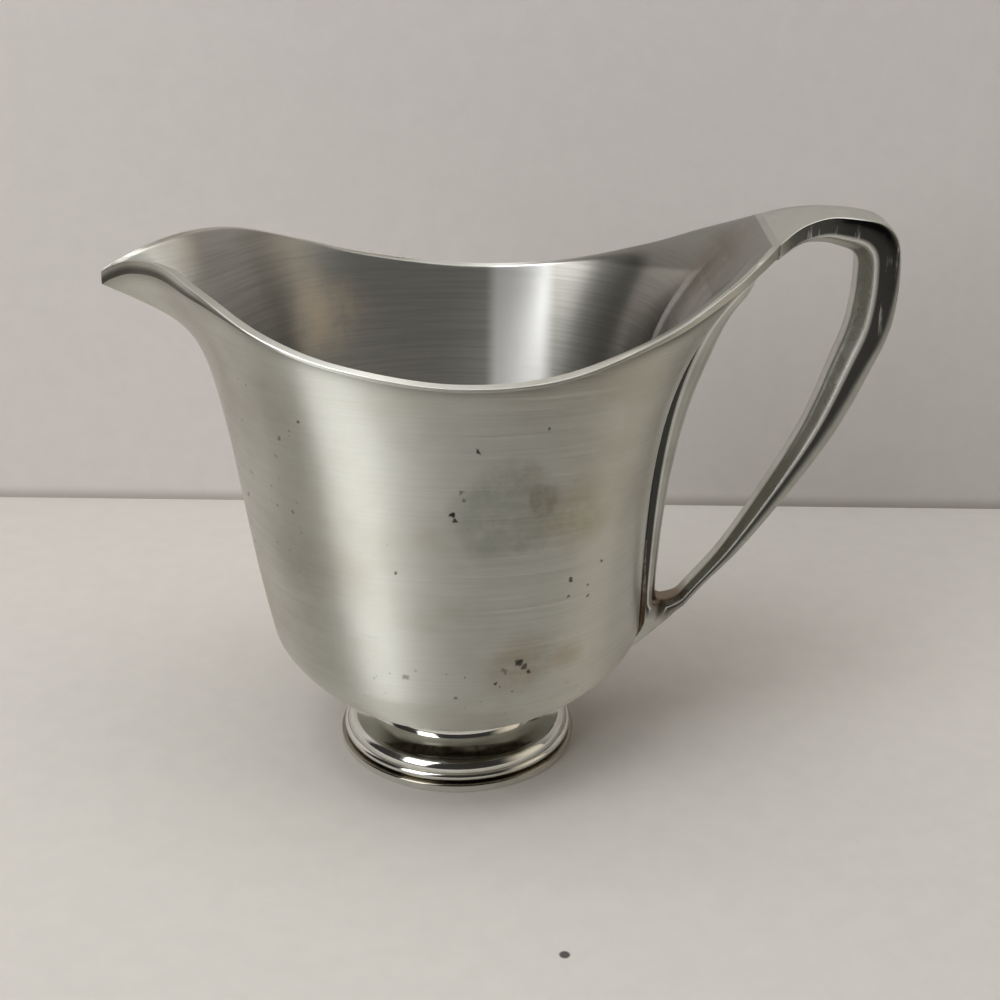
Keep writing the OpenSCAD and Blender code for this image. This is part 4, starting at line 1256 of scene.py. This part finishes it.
@dataclass(frozen=True)
class SatinBowlMetal:
    """Worn satin silver plate, brushed round the bowl, with cloudy tarnish, small spots, painted
    shade under the lip and a painted highlight streak inside.
    """

    bright: Triple = (0.655, 0.66, 0.61)
    dull: Triple = (0.50, 0.475, 0.41)
    inner: Triple = (0.45, 0.44, 0.41)
    scratched: Triple = (0.24, 0.23, 0.21)
    worn: Triple = (0.84, 0.84, 0.79)
    shadow: Triple = (0.07, 0.068, 0.055)
    pocked: Triple = (0.05, 0.05, 0.04)
    # Colour of the painted highlight streak on the far inside.
    highlight_tone: Triple = (0.97, 0.97, 0.96)
    roughness: float = 0.43
    anisotropy: float = 0.95

    def make(self) -> bpy.types.Material:
        """Builds the material."""
        w = Wiring("satin_bowl_metal")
        upward = w.ramp(w.split(w.add("ShaderNodeNewGeometry").outputs["Normal"])[2], 0.45, 0.8)
        inside = w.mark("inside")
        outside = w.less(1.0, inside)
        strokes = w.noise(w.stretched(w.spot, (30, 30, 2600)), 1.0, 4.0)
        calm = w.maths("MAXIMUM", upward, w.times(inside, 0.6))
        strokes = w.maths("ADD", strokes, w.times(calm, w.less(0.42, strokes)))
        tone = self.brushed_tone(w, strokes, inside, upward)
        # The painted highlight: a bright upright streak on the far inside, where the window's
        # reflection falls.
        tone = self.painted_highlight(w, self.spotted(w, tone, outside), inside)
        rough = w.ramp(strokes, 0.2, 0.8, self.roughness - 0.06, self.roughness + 0.08)
        rough = w.less(rough, w.times(inside, 0.03))
        relief = w.relief(w.times(strokes, outside), 0.02)
        relief = w.relief(w.noise(w.spot, 900.0, 2.0, 0.5), 0.006, relief)
        w.brushed(self.anisotropy, w.around())
        return w.finish(tone, rough, relief)

    def brushed_tone(self, w: Wiring, strokes: Socket, inside: Socket, upward: Socket) -> Socket:
        """Returns the metal's colour with its clouds, strokes, worn edges and painted shade lines.

        Args:
            w: The material's wiring.
            strokes: The pattern of the brush's strokes.
            inside: How far a point is inside the bowl.
            upward: How far the surface faces up.

        Returns:
            The colour.
        """
        cloud = w.ramp(w.noise(w.stretched(w.spot, (26, 26, 34)), 1.0, 4.0), 0.42, 0.72)
        tone = w.colour(w.times(cloud, 0.7), self.bright, self.dull)
        tone = w.colour(w.ramp(strokes, 0.35, 0.7, 0.0, 0.16), tone, self.dull)
        tone = w.colour(w.times(inside, 0.8), tone, self.inner)
        fine = w.ramp(w.noise(w.stretched(w.spot, (40, 40, 1500)), 1.0), 0.35, 0.68)
        fine = w.times(fine, inside, w.less(0.3, w.times(upward, 0.3)))
        tone = w.colour(fine, tone, self.scratched)
        wear = w.times(w.ramp(w.mark("edge"), 0.45, 1.0),
                       w.ramp(w.noise(w.spot, 170.0, 4.0), 0.3, 0.6, 0.15, 0.65))
        # Painted shade: the 'under' mark lays the shadow colour under the lip, on the spout's edge
        # face and in the heel's bend.
        return w.colour(w.mark("under"), w.colour(wear, tone, self.worn), self.shadow)

    def spotted(self, w: Wiring, tone: Socket, outside: Socket) -> Socket:
        """Returns a colour with the bowl's stains, nicks and fine pocks laid over it."""
        ragged = w.ragged(140.0, 3.0)
        patchy = w.ramp(w.noise(w.spot, 260.0, 4.0, 0.65), 0.3, 0.6, 0.45, 1.0)
        for stain in STAINS:
            share = w.near(stain.centre, stain.radius, stain.soft, ragged)
            tone = w.colour(w.times(share, patchy, stain.strength), tone, stain.tone)
        torn = w.ragged(700.0, 0.9)
        for nick in NICKS:
            share = w.near(nick.centre, nick.radius, nick.soft, torn)
            tone = w.colour(w.times(share, nick.strength), tone, nick.tone)
        pocks = w.times(outside, w.ramp(w.noise(w.spot, 620.0, 1.0, 0.4), 0.715, 0.745),
                        w.ramp(w.noise(w.spot, 45.0, 2.0, 0.5), 0.5, 0.6))
        return w.colour(w.times(pocks, 0.5), tone, self.pocked)

    def painted_highlight(self, w: Wiring, tone: Socket, inside: Socket) -> Socket:
        """Returns a colour with a painted highlight: the bright upright streak of the window's
        reflection on the far inside.
        """
        x, y, _ = w.split(w.spot)
        streak = w.times(w.times(w.ramp(x, 0.0045, 0.008), w.ramp(x, 0.0205, 0.0165)),
                         w.times(inside, w.ramp(y, 0.0, 0.02)))
        return w.colour(w.times(streak, 0.95), tone, self.highlight_tone)


@dataclass(frozen=True)
class CastHandleMetal:
    """Cast metal, satin on its top and bevels, with glossy side faces darkened as oxide and as a
    painted reflection of the dim room, and a worn ridge lightened as a painted highlight.
    """

    bright: Triple = (0.655, 0.66, 0.61)
    dull: Triple = (0.42, 0.39, 0.32)
    dark: Triple = (0.055, 0.055, 0.052)
    brown: Triple = (0.20, 0.12, 0.06)
    worn: Triple = (0.86, 0.85, 0.82)
    roughness: float = 0.42
    anisotropy: float = 0.7

    def make(self) -> bpy.types.Material:
        """Builds the material."""
        w = Wiring("cast_handle_metal")
        cloud = w.ramp(w.noise(w.spot, 60.0, 4.0), 0.45, 0.75)
        tone = w.colour(w.times(cloud, 0.5), self.bright, self.dull)
        crotch = w.near((43, 0, 33.5), 7.0, 0.7, w.ragged(300.0, 1.5))
        tone = w.colour(w.times(crotch, 0.8), tone, self.brown)
        # Painted reflection: the 'side' mark darkens the glossy side faces as oxide and as the dim
        # room they reflect; the streaks near the strap leave painted bright reflections in it.
        side = w.mark("side")
        streak = w.ramp(w.noise(w.stretched(w.spot, (900, 60, 120)), 1.0), 0.58, 0.72)
        streak = w.times(streak, w.near((80, 0, 113), 26.0, 0.4),
                         w.ramp(side, 0.75, 0.95, 0.0, 0.6))
        side = w.times(side, w.less(1.0, streak))
        tone = w.colour(side, tone, self.dark)
        # The ridge's worn line, lightened also as a painted highlight.
        tone = w.colour(w.ramp(w.mark("edge"), 0.4, 1.0, 0.0, 0.6), tone, self.worn)
        rough = w.ramp(w.noise(w.spot, 240.0), 0.3, 0.75, self.roughness - 0.05,
                       self.roughness + 0.05)
        way = w.add("ShaderNodeTangent", direction_type="UV_MAP", uv_map="surface")
        w.brushed(self.anisotropy, way.outputs[0])
        return w.finish(tone, w.less(rough, w.times(side, 0.24)),
                        w.relief(w.noise(w.spot, 420.0, 3.0, 0.5), 0.0015))


@dataclass(frozen=True)
class MirrorFootMetal:
    """Bright mirror finish, with dirt in its groove and a painted dark reflection of the dim room
    as a band round its cove.
    """

    bright: Triple = (0.78, 0.78, 0.74)
    clouded: Triple = (0.52, 0.47, 0.36)
    dirt: Triple = (0.16, 0.13, 0.08)
    # Colour of the painted dark reflection in the cove.
    shade: Triple = (0.075, 0.07, 0.045)
    roughness: float = 0.1

    def make(self) -> bpy.types.Material:
        """Builds the material."""
        w = Wiring("mirror_foot_metal")
        x, _, z = w.split(w.spot)
        groove = w.times(w.ramp(z, 0.0012, 0.0017), w.ramp(z, 0.0026, 0.0021))
        cloud = w.ramp(w.noise(w.spot, 120.0), 0.5, 0.8)
        tone = w.colour(w.times(cloud, 0.35), self.bright, self.clouded)
        tone = w.colour(w.times(groove, 0.8), tone, self.dirt)
        # Painted reflection: a dark band round the cove, strongest at the front and back, where the
        # cove reflects the dim room.
        band = w.maths("ADD", z, w.times(w.noise(w.spot, 70.0), 0.0016))
        band = w.times(w.ramp(band, 0.0062, 0.0067), w.ramp(band, 0.0079, 0.0074))
        across = w.ramp(w.maths("ABSOLUTE", x), 0.018, 0.012, 0.12, 0.88)
        tone = w.colour(w.times(band, across), tone, self.shade)
        rough = w.ramp(w.noise(w.stretched(w.spot, (90, 90, 1800)), 1.0), 0.3, 0.8,
                       self.roughness - 0.03, self.roughness + 0.06)
        return w.finish(tone, rough, w.relief(w.noise(w.spot, 300.0, 2.0, 0.5), 0.006))


@dataclass(frozen=True)
class SolderMetal:
    """Dull brownish solder with a grainy surface."""

    tone: Triple = (0.30, 0.27, 0.22)
    grainy: Triple = (0.12, 0.10, 0.075)
    brown: Triple = (0.10, 0.068, 0.04)

    def make(self) -> bpy.types.Material:
        """Builds the material."""
        w = Wiring("solder_metal")
        grain = w.noise(w.spot, 700.0, 4.0)
        tone = w.colour(w.ramp(grain, 0.35, 0.7), self.tone, self.grainy)
        tone = w.colour(w.near((41, 0, 31), 9.0, 0.6), tone, self.brown)
        return w.finish(tone, w.ramp(grain, 0.2, 0.8, 0.4, 0.65), w.relief(grain, 0.06))


@dataclass(frozen=True)
class PaleSheet:
    """A plain matt sheet for the table and the wall."""

    name: str
    tone: Triple
    grain: float = 0.03
    speck_tone: Triple = (0.08, 0.075, 0.07)
    # Colour of the painted shade along the wall's seam with the table.
    painted_seam_shade: Triple = (0.33, 0.31, 0.27)
    one_sided: bool = False
    specks: tuple[Triple, ...] = ()

    def make(self) -> bpy.types.Material:
        """Builds the material."""
        w = Wiring(self.name)
        fleck = w.noise(w.spot, 160.0, 4.0)
        grained = tuple(c * (1 - self.grain) for c in self.tone)
        tone = w.colour(w.ramp(fleck, 0.3, 0.7), self.tone, grained)
        for speck in self.specks:
            tone = w.colour(w.near(speck, 1.2, 0.4), tone, self.speck_tone)
        if self.one_sided:
            # Painted shade: the wall darkens over its lowest 4 mm, along its seam with the table.
            foot = w.ramp(w.split(w.spot)[2], 0.004, 0.0, 0.0, 0.7)
            tone = w.colour(foot, tone, self.painted_seam_shade)
        sheet = w.finish(tone, w.ramp(fleck, 0.2, 0.8, 0.75, 0.85), w.relief(fleck, 0.03), 0.0)
        if self.one_sided:
            back = w.add("ShaderNodeNewGeometry").outputs["Backfacing"]
            clear = w.add("ShaderNodeBsdfTransparent").outputs[0]
            side = w.fed(w.add("ShaderNodeMixShader"), back, w.shader.outputs[0], clear)
            w.join(side.outputs[0], w.output.inputs["Surface"])
        return sheet


@dataclass
class Studio:
    """The table, the wall behind it, the soft lamps and the camera."""

    far: float = 1500.0
    wall_y: float = 119.0
    wall_h: float = 900.0
    table_tone: Triple = (0.625, 0.60, 0.56)
    wall_tone: Triple = (0.70, 0.665, 0.645)
    table_specks: tuple[Triple, ...] = ((21, -74, 0),)
    lamp_aim: Triple = (0.0, 0.0, 50.0)
    warm_way: Triple = (0.98, 0.1, 0.17)
    room_tone: Triple = (0.035, 0.034, 0.032)
    warm_tone: Triple = (0.72, 0.64, 0.52)
    elevation: float = 24.15
    distance: float = 326.7
    roll: float = 0.69
    lens: float = 57.6
    sensor: float = 36.0
    target: Triple = (8.67, 0.0, 54.3)

    def sheet(self, name: str, corners: Sequence[Triple],
              finish: bpy.types.Material) -> None:
        """Adds one flat sheet of the stage, with its corners in millimetres."""
        mesh = bpy.data.meshes.new(name)
        mesh.from_pydata([tuple(c * MM for c in p) for p in corners], [], [(0, 1, 2, 3)])
        sheet = bpy.data.objects.new(name, mesh)
        sheet.data.materials.append(finish)
        bpy.context.scene.collection.objects.link(sheet)

    def lamp(self, name: str, place: Triple, size: tuple[float, float], power: float) -> None:
        """Adds a soft rectangular lamp.

        Args:
            name: Its name.
            place: Its middle in millimetres.
            size: Its width and height in millimetres.
            power: Its power in watts.
        """
        light = bpy.data.lights.new(name, "AREA")
        light.shape = "RECTANGLE"
        light.size, light.size_y = size[0] * MM, size[1] * MM
        light.energy = power
        lamp = bpy.data.objects.new(name, light)
        lamp.location = Vector(place) * MM
        way = Vector(self.lamp_aim) - Vector(place)
        lamp.rotation_euler = way.to_track_quat("-Z", "Y").to_euler()
        bpy.context.scene.collection.objects.link(lamp)

    def build(self) -> None:
        """Builds the stage, the light and the camera."""
        far, back, high = self.far, self.wall_y, self.wall_h
        table = PaleSheet("pale_table", self.table_tone, specks=self.table_specks)
        wall = PaleSheet("pale_wall", self.wall_tone, one_sided=True)
        self.sheet("table", ((-far, -far, 0), (far, -far, 0), (far, far, 0), (-far, far, 0)),
                   table.make())
        self.sheet("backdrop", ((-far, back, 0), (far, back, 0), (far, back, high),
                                (-far, back, high)), wall.make())
        self.lamp("left_window", (-520, -610, 750), (480, 1500), 8.0)
        self.lamp("top_sheet", (0, -60, 760), (800, 460), 2.75)
        self.room()
        self.camera()

    def room(self) -> None:
        """Builds the dim room around the stage, with a paler, warmer side to the right."""
        world = bpy.data.worlds.new("room")
        world.use_nodes = True
        n = Nodes(world.node_tree)
        way = n.add("ShaderNodeTexCoord").outputs["Generated"]
        share = n.ramp(n.vector("DOT_PRODUCT", way, self.warm_way), 0.62, 0.97)
        tone = n.colour(share, self.room_tone, self.warm_tone)
        n.join(tone, n.tree.nodes["Background"].inputs["Color"])
        bpy.context.scene.world = world

    def camera(self) -> None:
        """Places the camera at the photograph's viewing angle."""
        tilt, roll = math.radians(self.elevation), math.radians(self.roll)
        away = Vector((0.0, -math.cos(tilt), math.sin(tilt)))
        right, up = Vector((1.0, 0.0, 0.0)), Vector((0.0, math.sin(tilt), math.cos(tilt)))
        across = right * math.cos(roll) + up * math.sin(roll)
        over = up * math.cos(roll) - right * math.sin(roll)
        lens = bpy.data.cameras.new("photograph")
        lens.lens, lens.sensor_width, lens.sensor_fit = self.lens, self.sensor, "HORIZONTAL"
        lens.clip_start, lens.clip_end = 0.01, 20.0
        view = bpy.data.objects.new("photograph", lens)
        place = (Vector(self.target) + away * self.distance) * MM
        view.matrix_world = Matrix.Translation(place) @ Matrix(
            (across, over, away)).transposed().to_4x4()
        bpy.context.scene.collection.objects.link(view)
        bpy.context.scene.camera = view


def main() -> None:
    """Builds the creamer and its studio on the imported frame."""
    logging.basicConfig(level=logging.INFO, format="%(name)s: %(message)s")
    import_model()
    bpy.context.scene.view_settings.view_transform = "Standard"
    bowl = Bowl()
    handle = Handle(bowl)
    solder = Solder(bowl, handle)
    foot = Foot(bowl)
    turner = Turner()
    mirror, dull = MirrorFootMetal().make(), SolderMetal().make()
    clothe(bowl.make(), SatinBowlMetal().make(), Slot.BOWL, "bowl")
    clothe(handle.make(), CastHandleMetal().make(), Slot.HANDLE, "handle")
    clothe(foot.make(turner, mirror), mirror, Slot.FOOT, "foot")
    clothe(foot.make_solder(turner, dull), dull, Slot.SOLDER, "foot_solder")
    clothe(solder.make_upper(), dull, Slot.SOLDER, "upper_solder")
    clothe(solder.make_lower(), dull, Slot.SOLDER, "lower_solder")
    Studio().build()


if __name__ == "__main__":
    main()
